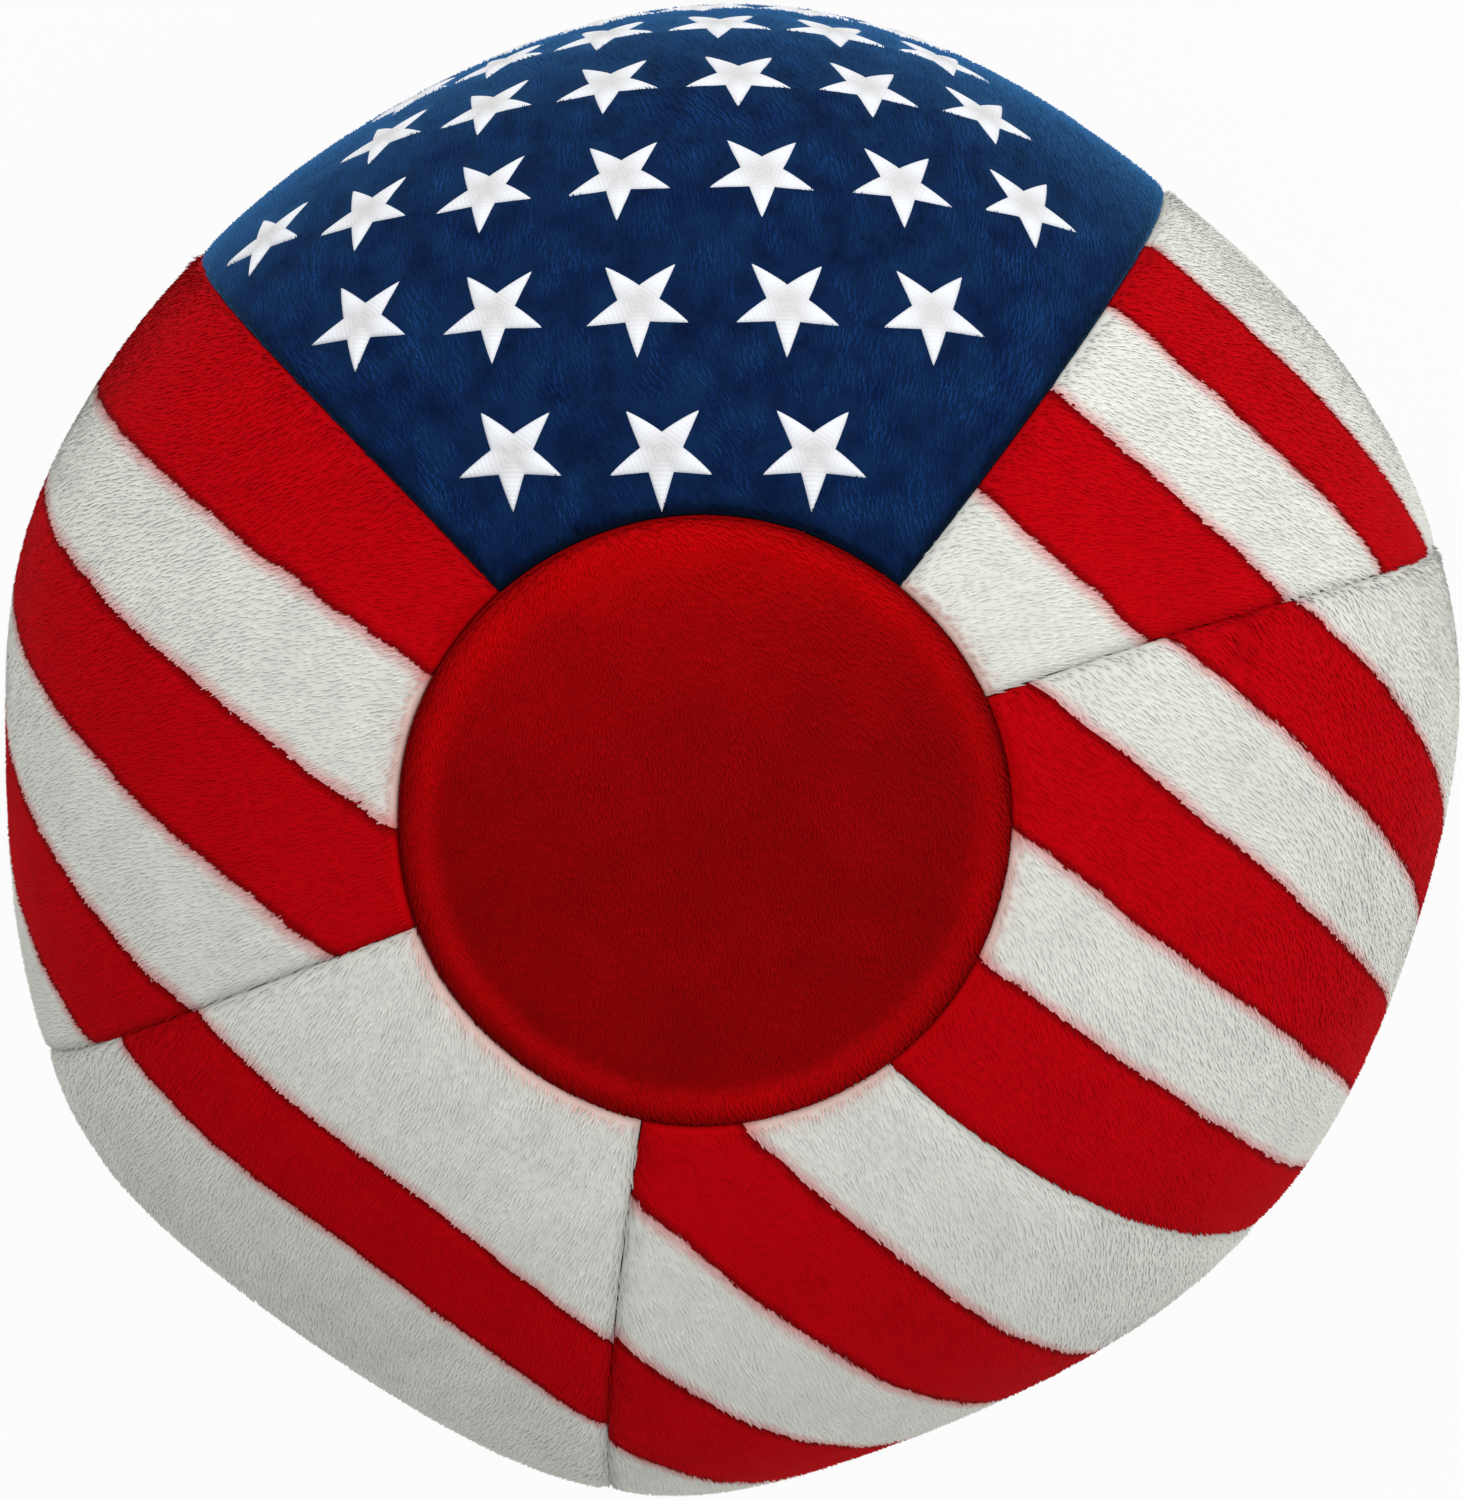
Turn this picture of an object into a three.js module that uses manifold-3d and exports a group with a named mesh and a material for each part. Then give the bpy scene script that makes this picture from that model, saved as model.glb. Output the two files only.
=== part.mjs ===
// A plush footbag: eight cloth panels sewn edge to edge round a loose pellet fill.
// Millimetres, +Z up. The bag stands on its flat bottom cap, with its axis on Z.
import * as THREE from 'three';
import Module from 'manifold-3d';

const wasm = await Module();
wasm.setup();

// The filled bag
const WAIST_RADIUS = 27.2;
const HEIGHT = 44.5;
const FULLNESS = 2.5; // power of the side profile, where 2 would be an ellipse
const REST_RADIUS = 9; // the flat circle that the bag stands on
const OVAL = { lobes: 2, amount: 0.0102, azimuth: 57.6 };
const SIX_SIDED = { lobes: 6, amount: 0.0106, azimuth: 23.1 };
// Where the slack cloth is pushed out, in degrees and as a share of the radius
const BULGES = [
  { azimuth: 6, width: 15, amount: 0.0415 },
  { azimuth: 100, width: 20, amount: 0.03 },
  { azimuth: 164, width: 10, amount: 0.028 },
  { azimuth: 212, width: 10, amount: 0.023 },
  { azimuth: 264, width: 10, amount: 0.03 },
];

// Cloth panels
const CLOTH = 1.6; // backing and pile
const CAP_RADIUS = 11; // seam circle of the round top and bottom caps
const ALLOWANCE = 3.6; // depth of the turned-in edges, measured from the pile
const ALLOWANCE_CLOTH = 0.9; // a turned-in edge, its pile pressed flat
const EDGE_ROUND = 1; // the roll of the cloth into a seam
const SEAM_GAP = 0.3;
// Azimuths of the six side seams in degrees, at the caps and at the waist
const SEAMS = [
  { cap: 24, waist: 16.5 },
  { cap: 50.4, waist: 51.6 },
  { cap: 131.5, waist: 136 },
  { cap: 200.5, waist: 203.5 },
  { cap: 258.5, waist: 262 },
  { cap: 307.5, waist: 320 },
];
const STAR_PANEL = 1; // the panel that follows this seam is the blue one with stars
const CLOSING_PANEL = 5; // the bag is filled and then sewn shut below this panel

// Sewing thread
const THREAD_RADIUS = 0.25;
const THREAD_CLEARANCE = 0.2;
const STITCH_LENGTH = 6;
const STITCH_DEPTH = 2.5; // below the pile, so the stitches stay inside the bag
const CAP_CORNER = 1.7; // room left beside a side seam by the stitches round a cap

// Pellet fill
const FILL_GAP = 0.3; // between the fill and the inside of the bottom cap
const FILL_CLEARANCE = 1; // to the turned-in edges at the sides
const FILL_HEAP = 4; // height of the heap above the waist

// Embroidered stars, laid out on the flat cloth with the cap's centre as its origin
const STAR_RADIUS = 1.9;
const STAR_WAIST = 0.42; // radius between two arms as a share of the tip radius
const STAR_LIFT = 0.15;
const STAR_THICKNESS = 0.35;
const STAR_CROWN = 0.25; // extra height in the middle of a star
const FIRST_STAR = { x: -1.5, y: 13.2 };
const STAR_COLUMN = { x: 5.45, y: 0 };
const STAR_ROW = { x: -0.95, y: 5.45 };
const STAR_ROWS = 7; // the rows from the cap to below the waist
const STAR_COLUMNS = 5; // tried to either side of the first star
const STAR_BLOCK = { from: -20.2, to: 15 }; // the stars lie between these x on the flat cloth
const STAR_MARGIN = 0.2; // least room between a star's tip and a seam

// Fineness of the facets
const PROFILE_STEPS = 600;
const CAP_STEP_DEGREES = 12;
const OUTER_SHARES = [0.34, 0.6, 0.83];
const INNER_SHARES = [0.8, 0.45];
const FILL_SHARES = [0, 0.25, 0.55, 0.8, 1];
const FILL_SIDES = 24;
const THREAD_SIDES = 4;
const HOLE_SIDES = 4;

const LOOKS = {
  redVelour: { color: 0x9c0308, roughness: 0.85, metalness: 0 },
  stripedPlush: { color: 0xdcded8, roughness: 0.95, metalness: 0 },
  bluePlush: { color: 0x0f2a58, roughness: 0.95, metalness: 0 },
  starThread: { color: 0xf2f3f5, roughness: 0.6, metalness: 0 },
  seamThread: { color: 0x3a0b0e, roughness: 0.7, metalness: 0 },
  pellets: { color: 0xd9d2bf, roughness: 0.5, metalness: 0 },
};

const radians = THREE.MathUtils.degToRad;
const lerp = THREE.MathUtils.lerp;
const FLAT_SHARE = (1 - (REST_RADIUS / WAIST_RADIUS) ** FULLNESS) ** (1 / FULLNESS);
const HALF_HEIGHT = HEIGHT / (1 + FLAT_SHARE);
const MERIDIAN = makeMeridian();
const TOTAL_LENGTH = MERIDIAN[PROFILE_STEPS].length;
const TOP_SEAM = MERIDIAN.find((place) => place.radius >= CAP_RADIUS).length;
const BOTTOM_SEAM = MERIDIAN.findLast((place) => place.radius >= CAP_RADIUS).length;
const WAIST_LENGTH = MERIDIAN[PROFILE_STEPS / 2].length;
const SIDE_STEPS = Math.round((BOTTOM_SEAM - TOP_SEAM) / STITCH_LENGTH);
// Thread runs this far to either side of a seam, just clear of the turned-in edges
const STITCH_REACH = SEAM_GAP / 2 + ALLOWANCE_CLOTH + THREAD_CLEARANCE + THREAD_RADIUS;
const HOLE_REACH = STITCH_REACH + THREAD_RADIUS;

// The side profile as a fine chain, with its running length from the top centre
function makeMeridian() {
  const chain = [];
  for (let step = 0; step <= PROFILE_STEPS; step += 1) {
    const angle = (Math.PI * step) / PROFILE_STEPS;
    const across = Math.max(0, Math.sin(angle)) ** (2 / FULLNESS);
    const along = Math.abs(Math.cos(angle)) ** (2 / FULLNESS);
    const radius = WAIST_RADIUS * across;
    const rise = HALF_HEIGHT * along * Math.sign(Math.cos(angle));
    const z = Math.max(0, HEIGHT - HALF_HEIGHT + rise);
    const last = chain.at(-1);
    const length = last ? last.length + Math.hypot(radius - last.radius, z - last.z) : 0;
    chain.push({ radius, z, length });
  }
  return chain;
}

// Radius, level and slope of the profile at a length from the top centre
function profileAt(length) {
  const found = MERIDIAN.findIndex((place) => place.length >= length);
  const upper = Math.max(1, found < 0 ? PROFILE_STEPS : found);
  const a = MERIDIAN[upper - 1];
  const b = MERIDIAN[upper];
  const span = b.length - a.length;
  const share = THREE.MathUtils.clamp((length - a.length) / span, 0, 1);
  return {
    radius: lerp(a.radius, b.radius, share),
    z: lerp(a.z, b.z, share),
    outward: (a.z - b.z) / span,
    upward: (b.radius - a.radius) / span,
  };
}

// How far the outline leaves the circle at an azimuth, as a share of the radius
function outline(azimuth) {
  const turnFrom = (shape) => azimuth - radians(shape.azimuth);
  const wave = (shape) => shape.amount * Math.cos(shape.lobes * turnFrom(shape));
  const bulge = (shape) => {
    const fall = (Math.cos(turnFrom(shape)) - 1) / radians(shape.width) ** 2;
    return shape.amount * Math.exp(fall);
  };
  const bulging = BULGES.reduce((total, shape) => total + bulge(shape), 0);
  return wave(OVAL) + wave(SIX_SIDED) + bulging;
}

// A point at a depth under the pile surface
function clothPoint(place, depth) {
  const { radius, z, outward, upward } = profileAt(place.length);
  const swell = 1 + outline(place.azimuth) * (radius / WAIST_RADIUS) ** 2;
  const reach = radius * swell - outward * depth;
  const level = z - upward * depth;
  return new THREE.Vector3(reach * Math.cos(place.azimuth), reach * Math.sin(place.azimuth), level);
}

const clothRing = (places, depth) => places.map((place) => clothPoint(place, depth));

// Azimuth of a side seam: it bows from its cap azimuth to its waist azimuth and back
function seamAzimuth(seam, length) {
  const bow = Math.sin((Math.PI * (length - TOP_SEAM)) / (BOTTOM_SEAM - TOP_SEAM));
  const turns = 360 * Math.floor(seam / SEAMS.length);
  const { cap, waist } = SEAMS[seam % SEAMS.length];
  return radians(turns + lerp(cap, waist, bow));
}

// Places along one edge of a panel, the last one left to the next edge
function sideEdge(seam, from, to) {
  return Array.from({ length: SIDE_STEPS }, (_, step) => {
    const length = lerp(from, to, step / SIDE_STEPS);
    return { azimuth: seamAzimuth(seam, length), length };
  });
}

function capEdge(panel, length, backwards) {
  const from = seamAzimuth(panel, length);
  const to = seamAzimuth(panel + 1, length);
  const steps = Math.max(2, Math.round((to - from) / radians(CAP_STEP_DEGREES)));
  return Array.from({ length: steps }, (_, step) => {
    const share = backwards ? 1 - step / steps : step / steps;
    return { azimuth: lerp(from, to, share), length };
  });
}

function sidePanelEdge(panel) {
  return [
    ...sideEdge(panel, TOP_SEAM, BOTTOM_SEAM),
    ...capEdge(panel, BOTTOM_SEAM, false),
    ...sideEdge(panel + 1, BOTTOM_SEAM, TOP_SEAM),
    ...capEdge(panel, TOP_SEAM, true),
  ];
}

function sidePanelCentre(panel) {
  const length = (TOP_SEAM + BOTTOM_SEAM) / 2;
  const azimuth = (seamAzimuth(panel, length) + seamAzimuth(panel + 1, length)) / 2;
  return { azimuth, length };
}

// The same closed edge moved into the panel by a distance, its corners mitred
function inset(edge, distance) {
  const normalAfter = (k) => {
    const a = edge[k];
    const b = edge[(k + 1) % edge.length];
    const turn = Math.atan2(Math.sin(b.azimuth - a.azimuth), Math.cos(b.azimuth - a.azimuth));
    const across = turn * profileAt((a.length + b.length) / 2).radius;
    return new THREE.Vector2(b.length - a.length, -across).normalize();
  };
  return edge.map((place, k) => {
    const before = normalAfter((k + edge.length - 1) % edge.length);
    const after = normalAfter(k);
    const mitre = before.clone().add(after).divideScalar(1 + before.dot(after));
    return {
      azimuth: place.azimuth + (mitre.x * distance) / profileAt(place.length).radius,
      length: place.length + mitre.y * distance,
    };
  });
}

// The edge drawn in towards the middle of the panel; a cap has no azimuth there
function drawIn(edge, centre, share) {
  return edge.map((place) => ({
    azimuth: lerp(centre.azimuth ?? place.azimuth, place.azimuth, share),
    length: lerp(centre.length, place.length, share),
  }));
}

// One closed body through a row of rings. A ring of one point is a peak, and a full
// ring at either end is closed flat, unless the rings go round in a circle.
function skin(rings, circular = false) {
  const starts = rings.map((_, k) => rings.slice(0, k).flat().length);
  const count = Math.max(...rings.map((ring) => ring.length));
  const bands = circular ? rings.length : rings.length - 1;
  const corner = (ring, k) => starts[ring] + (k % rings[ring].length);
  const triangles = [];
  for (let band = 0; band < bands; band += 1) {
    const next = (band + 1) % rings.length;
    for (let k = 0; k < count; k += 1) {
      if (rings[next].length > 1) triangles.push(corner(band, k), corner(next, k), corner(next, k + 1));
      if (rings[band].length > 1) triangles.push(corner(band, k), corner(next, k + 1), corner(band, k + 1));
    }
  }
  const last = bands;
  for (let k = 1; k + 1 < count && !circular; k += 1) {
    if (rings[0].length > 1) triangles.push(corner(0, 0), corner(0, k), corner(0, k + 1));
    if (rings[last].length > 1) triangles.push(corner(last, 0), corner(last, k + 1), corner(last, k));
  }
  const geometry = new THREE.BufferGeometry();
  const positions = rings.flat().flatMap((point) => point.toArray());
  geometry.setAttribute('position', new THREE.Float32BufferAttribute(positions, 3));
  geometry.setIndex(triangles);
  return geometry;
}

// A panel: curved cloth whose edges roll over and turn in, like a shallow tray
function clothPanel(edge, centre) {
  const half = SEAM_GAP / 2;
  const roll = EDGE_ROUND * (1 - Math.SQRT1_2);
  const brow = inset(edge, half + EDGE_ROUND);
  const fold = inset(edge, half);
  const lining = inset(edge, half + ALLOWANCE_CLOTH);
  const peak = centre.azimuth === undefined ? [] : [centre];
  const rings = [
    clothRing(peak, 0),
    ...OUTER_SHARES.map((share) => clothRing(drawIn(brow, centre, share), 0)),
    clothRing(brow, 0),
    clothRing(inset(edge, half + roll), roll),
    clothRing(fold, EDGE_ROUND),
    clothRing(fold, ALLOWANCE),
    clothRing(lining, ALLOWANCE),
    clothRing(lining, CLOTH),
    ...INNER_SHARES.map((share) => clothRing(drawIn(lining, centre, share), CLOTH)),
    clothRing(peak, CLOTH),
  ];
  return skin(rings.filter((ring) => ring.length > 0));
}

function capPanel(seamLength, centreLength, backwards) {
  const panels = SEAMS.map((_, k) => (backwards ? SEAMS.length - 1 - k : k));
  const edge = panels.flatMap((panel) => capEdge(panel, seamLength, backwards));
  return clothPanel(edge, { length: centreLength });
}

// A round tube through a row of places at one depth, with mitred corners
function tube(places, depth, radius, sides, closed) {
  const points = clothRing(places, depth);
  const last = points.length - 1;
  const rings = points.map((point, k) => {
    const before = points[k > 0 ? k - 1 : closed ? last : 0];
    const after = points[k < last ? k + 1 : closed ? 0 : last];
    const along = after.clone().sub(point).normalize();
    const back = point.clone().sub(before).normalize();
    const middle = along.clone().add(back).normalize();
    const { outward, upward } = profileAt(places[k].length);
    const { azimuth } = places[k];
    const up = new THREE.Vector3(outward * Math.cos(azimuth), outward * Math.sin(azimuth), upward);
    const side = new THREE.Vector3().crossVectors(up, middle).normalize();
    const level = new THREE.Vector3().crossVectors(middle, side);
    const stretch = 1 / Math.max(middle.dot(along), middle.dot(back));
    return Array.from({ length: sides }, (_, corner) => {
      const angle = (2 * Math.PI * corner) / sides;
      return point
        .clone()
        .addScaledVector(level, radius * Math.cos(angle))
        .addScaledVector(side, radius * stretch * Math.sin(angle));
    });
  });
  return skin(rings, closed);
}

const besideSideSeam = (seam, length, reach) => ({
  azimuth: seamAzimuth(seam, length) + reach / profileAt(length).radius,
  length,
});

const besideCapSeam = (seamLength, azimuth, reach) => ({ azimuth, length: seamLength + reach });

// A running stitch: at each station the thread crosses the seam, then runs on
function runningStitch(stations, beside, startSide) {
  const places = [];
  stations.forEach((station, k) => {
    const side = k % 2 === 0 ? startSide : -startSide;
    if (k > 0) places.push(beside((stations[k - 1] + station) / 2, side * STITCH_REACH));
    places.push(beside(station, side * STITCH_REACH));
    places.push(beside(station, -side * STITCH_REACH));
  });
  return places;
}

// The needle holes of a running stitch, as bodies to be cut from the turned-in edges
function needleHoles(stations, beside) {
  const radius = THREAD_RADIUS + THREAD_CLEARANCE;
  return stations.map((station) => {
    const ends = [beside(station, -HOLE_REACH), beside(station, HOLE_REACH)];
    return tube(ends, STITCH_DEPTH, radius, HOLE_SIDES, false);
  });
}

// One stitch to each facet of a side seam, away from the facet's ends and diagonal
function sideStations() {
  const facets = Array.from({ length: SIDE_STEPS - 1 }, (_, k) => k + 1);
  return facets.map((facet) => lerp(TOP_SEAM, BOTTOM_SEAM, (facet + 0.2) / SIDE_STEPS));
}

// Crossings along one panel's edge of a cap: in pairs, so the thread goes past each
// side seam on the cap's side
function capStations(panel, seamLength) {
  const corner = CAP_CORNER / CAP_RADIUS;
  const from = seamAzimuth(panel, seamLength) + corner;
  const to = seamAzimuth(panel + 1, seamLength) - corner;
  const stitches = ((to - from) * CAP_RADIUS) / STITCH_LENGTH;
  const crossings = 2 * Math.ceil((stitches + 1) / 2);
  return Array.from({ length: crossings }, (_, k) => lerp(from, to, k / (crossings - 1)));
}

const thread = (places, closed) => tube(places, STITCH_DEPTH, THREAD_RADIUS, THREAD_SIDES, closed);

// Boolean work
function toManifold(geometry) {
  const mesh = new wasm.Mesh({
    numProp: 3,
    vertProperties: new Float32Array(geometry.attributes.position.array),
    triVerts: new Uint32Array(geometry.index.array),
  });
  return new wasm.Manifold(mesh);
}

function cutAway(geometry, cutters) {
  const body = cutters.reduce((rest, cutter) => rest.subtract(toManifold(cutter)), toManifold(geometry));
  const mesh = body.getMesh();
  const result = new THREE.BufferGeometry();
  result.setAttribute('position', new THREE.Float32BufferAttribute(mesh.vertProperties, 3));
  result.setIndex(Array.from(mesh.triVerts));
  return result;
}

// The fill: a plug inside the bottom cap's turned-in edge, spreading out above it to
// the waist, with a low heap on top
function pelletFill() {
  const circle = (radius, z) =>
    Array.from({ length: FILL_SIDES }, (_, k) => {
      const azimuth = (2 * Math.PI * k) / FILL_SIDES;
      return new THREE.Vector3(radius * Math.cos(azimuth), radius * Math.sin(azimuth), z);
    });
  const inside = ALLOWANCE + FILL_CLEARANCE;
  const spread = FILL_SHARES.map((share) => {
    const { radius, z, outward, upward } = profileAt(lerp(WAIST_LENGTH, BOTTOM_SEAM, share));
    return circle(radius - outward * inside, z - upward * inside);
  });
  const waist = spread[0][0];
  const plugTop = spread.at(-1)[0].z;
  const plugRadius = CAP_RADIUS - HOLE_REACH - FILL_CLEARANCE;
  const floor = CLOTH + FILL_GAP;
  return skin([
    [new THREE.Vector3(0, 0, waist.z + FILL_HEAP)],
    circle(waist.x * 0.6, waist.z + FILL_HEAP * 0.75),
    ...spread,
    circle(plugRadius, plugTop),
    circle(plugRadius, floor),
    [new THREE.Vector3(0, 0, floor)],
  ]);
}

// From the flat cloth to a place on the bag. Above the waist the cloth spreads from the
// top centre; below it the panel hangs straight down.
function fromFlat(x, y, centreAzimuth) {
  const reach = Math.hypot(x, y);
  if (reach <= WAIST_LENGTH) return { azimuth: Math.atan2(y, x), length: reach };
  const across = y * Math.cos(centreAzimuth) - x * Math.sin(centreAzimuth);
  const along = x * Math.cos(centreAzimuth) + y * Math.sin(centreAzimuth);
  const below = along - Math.sqrt(WAIST_LENGTH ** 2 - across ** 2);
  const length = WAIST_LENGTH + below;
  const narrowing = WAIST_RADIUS / profileAt(length).radius;
  return { azimuth: centreAzimuth + Math.asin(across / WAIST_LENGTH) * narrowing, length };
}

// Room from a place to the nearest seam of a panel
function roomInPanel(panel, place) {
  const { radius } = profileAt(place.length);
  return Math.min(
    place.length - TOP_SEAM,
    BOTTOM_SEAM - place.length,
    (place.azimuth - seamAzimuth(panel, place.length)) * radius,
    (seamAzimuth(panel + 1, place.length) - place.azimuth) * radius,
  );
}

// All places of the star grid that have room for a whole star
function starPlaces() {
  const centre = sidePanelCentre(STAR_PANEL).azimuth;
  const places = [];
  for (let row = 0; row < STAR_ROWS; row += 1) {
    for (let column = -STAR_COLUMNS; column <= STAR_COLUMNS; column += 1) {
      const x = FIRST_STAR.x + row * STAR_ROW.x + column * STAR_COLUMN.x;
      const y = FIRST_STAR.y + row * STAR_ROW.y + column * STAR_COLUMN.y;
      const place = fromFlat(x, y, centre);
      const inBlock = x > STAR_BLOCK.from && x < STAR_BLOCK.to;
      if (inBlock && roomInPanel(STAR_PANEL, place) > STAR_RADIUS + STAR_MARGIN) places.push(place);
    }
  }
  return places;
}

// A star with one tip towards -Y on the flat cloth, crowned in the middle
function starPatch(place) {
  const { radius } = profileAt(place.length);
  const ring = (height) =>
    Array.from({ length: 10 }, (_, k) => {
      const reach = STAR_RADIUS * (k % 2 === 0 ? 1 : STAR_WAIST);
      const angle = (2 * Math.PI * k) / 10 - Math.PI / 2 - place.azimuth;
      const across = reach * Math.sin(angle);
      const along = reach * Math.cos(angle);
      const spot = { azimuth: place.azimuth + across / radius, length: place.length + along };
      return clothPoint(spot, -height);
    });
  const top = STAR_LIFT + STAR_THICKNESS;
  return skin([
    [clothPoint(place, -top - STAR_CROWN)],
    ring(top),
    ring(STAR_LIFT),
    [clothPoint(place, -STAR_LIFT)],
  ]);
}

const bag = new THREE.Group();
bag.name = 'footbag';

function addPart(name, geometry, look) {
  geometry.computeVertexNormals();
  const mesh = new THREE.Mesh(geometry, new THREE.MeshStandardMaterial(look));
  mesh.name = name;
  bag.add(mesh);
}

const panels = SEAMS.map((_, panel) => panel);
const sideHoles = panels.map((seam) =>
  needleHoles(sideStations(), (length, reach) => besideSideSeam(seam, length, reach)));
const holesRound = (seamLength) => panels.map((panel) =>
  needleHoles(capStations(panel, seamLength), (azimuth, reach) => besideCapSeam(seamLength, azimuth, reach)));
const topHoles = holesRound(TOP_SEAM);
const bottomHoles = holesRound(BOTTOM_SEAM);

const topCap = capPanel(TOP_SEAM, 0, false);
const bottomCap = capPanel(BOTTOM_SEAM, TOTAL_LENGTH, true);
addPart('top_cap', cutAway(topCap, topHoles.flat()), LOOKS.redVelour);
addPart('bottom_cap', cutAway(bottomCap, bottomHoles.flat()), LOOKS.redVelour);
for (const panel of panels) {
  const isStarPanel = panel === STAR_PANEL;
  const order = (panel - STAR_PANEL + SEAMS.length) % SEAMS.length;
  const name = isStarPanel ? 'star_panel' : `stripe_panel_${order}`;
  const look = isStarPanel ? LOOKS.bluePlush : LOOKS.stripedPlush;
  const cloth = clothPanel(sidePanelEdge(panel), sidePanelCentre(panel));
  const nextSeam = (panel + 1) % SEAMS.length;
  const holes = [...sideHoles[panel], ...sideHoles[nextSeam], ...topHoles[panel], ...bottomHoles[panel]];
  addPart(name, cutAway(cloth, holes), look);
}

for (const seam of panels) {
  const places = runningStitch(sideStations(), (length, reach) => besideSideSeam(seam, length, reach), 1);
  addPart(`side_thread_${seam + 1}`, thread(places, false), LOOKS.seamThread);
}
const capThread = (seamLength, capSide, sewn) =>
  runningStitch(
    sewn.flatMap((panel) => capStations(panel, seamLength)),
    (azimuth, reach) => besideCapSeam(seamLength, azimuth, reach),
    capSide,
  );
const machineSewn = panels.map((_, k) => CLOSING_PANEL + 1 + k).slice(0, -1);
addPart('top_thread', thread(capThread(TOP_SEAM, -1, panels), true), LOOKS.seamThread);
addPart('bottom_thread', thread(capThread(BOTTOM_SEAM, 1, machineSewn), false), LOOKS.seamThread);
addPart('closing_thread', thread(capThread(BOTTOM_SEAM, 1, [CLOSING_PANEL]), false), LOOKS.seamThread);

addPart('pellet_fill', pelletFill(), LOOKS.pellets);
starPlaces().forEach((place, k) => {
  addPart(`star_${String(k + 1).padStart(2, '0')}`, starPatch(place), LOOKS.starThread);
});

export default bag;
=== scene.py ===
"""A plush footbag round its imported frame: padded panels with real pile, stitched stars and loose pellets."""

import math

import bmesh
import bpy
import numpy as np
from mathutils import Matrix, Vector


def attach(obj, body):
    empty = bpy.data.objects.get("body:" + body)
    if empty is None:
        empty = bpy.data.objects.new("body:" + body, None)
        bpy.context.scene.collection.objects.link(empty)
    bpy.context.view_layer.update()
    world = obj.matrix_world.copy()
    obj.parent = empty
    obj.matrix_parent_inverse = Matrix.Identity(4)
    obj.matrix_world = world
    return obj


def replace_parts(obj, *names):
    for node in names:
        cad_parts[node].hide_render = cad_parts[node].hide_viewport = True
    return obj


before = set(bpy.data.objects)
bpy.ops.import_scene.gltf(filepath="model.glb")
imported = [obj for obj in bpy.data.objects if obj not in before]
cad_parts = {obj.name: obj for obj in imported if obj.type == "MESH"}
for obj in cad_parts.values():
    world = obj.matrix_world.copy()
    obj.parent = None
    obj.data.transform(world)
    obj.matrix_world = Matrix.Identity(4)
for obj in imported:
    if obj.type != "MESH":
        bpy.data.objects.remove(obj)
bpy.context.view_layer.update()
scene = bpy.context.scene
MM = 0.001
SHELL = "shell"

# The filled bag, in millimetres
WAIST_RADIUS = 27.2
HEIGHT = 44.5
FULLNESS = 2.5  # power of the side profile, where 2 would be an ellipse
REST_RADIUS = 9
OVAL = {"lobes": 2, "amount": 0.0102, "azimuth": 57.6}
SIX_SIDED = {"lobes": 6, "amount": 0.0106, "azimuth": 23.1}
# Where the slack cloth is pushed out: azimuth and width in degrees, and share of the radius
BULGES = [(6, 15, 0.0415), (100, 20, 0.03), (164, 10, 0.028), (212, 10, 0.023), (264, 10, 0.03)]
PROFILE_STEPS = 600

# Cloth panels, counted from the right-hand seam; a seam's azimuths are those at the caps and at the waist
CLOTH = 1.6
CAP_RADIUS = 11
ALLOWANCE = 3.6
ALLOWANCE_CLOTH = 0.9
SEAM_GAP = 0.05
THREAD_ROOM = 0.7  # taken up inside the allowance by the stitches
LEAST_CLOTH = 0.6
SEAMS = [(24, 16.5), (50.4, 51.6), (131.5, 136), (200.5, 203.5), (258.5, 262), (307.5, 320)]
STAR_PANEL = 1
PANEL_NAMES = ["stripe_panel_5", "star_panel"] + [f"stripe_panel_{number}" for number in range(1, 5)]
GRID_STEP = 0.6
EDGE_CROWDING = 0.8  # how much finer the grid is at the seams, from 0 to 1

# How the cloth is drawn down into its seams, as depth and spread: a narrow groove inside a shallow hollow
SIDE_GROOVE = (0.2, 0.18)
SIDE_HOLLOW = (0.1, 2.5)
CAP_GROOVE = (0.22, 0.2)
CAP_HOLLOW = (0.04, 1.5)
SEAM_MEETING = 0.3  # share of the shallower one that is added where two seams meet
# A short fold in one panel: its middle in degrees and millimetres, the turn of its line and its half length
CREASE = {"panel": 5, "azimuth": 377.4, "length": 20.9, "turn": 33, "reach": 1.3}
CREASE_WIDTH = 0.38
CREASE_DEPTH = 0.35

# Caps, with places measured inwards from the seam
CAP_SINK = 0.12
RIM_GROOVE = (0.3, 0.25)
RIM_ROLL = {"amount": 0.1, "at": 0.8, "spread": 0.45}
RIM_HOLLOW = {"amount": 0.06, "at": 1.6, "spread": 0.5}
CROWN = {"amount": 0.25, "reach": 8}
CAP_SECTORS = 180
CAP_RINGS = 40
LINING_RINGS = 20
INNERMOST_RING = 0.985  # share of the way to the middle
RING_CROWDING = 1.5  # above 1 the rings lie closer together at the rim

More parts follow.
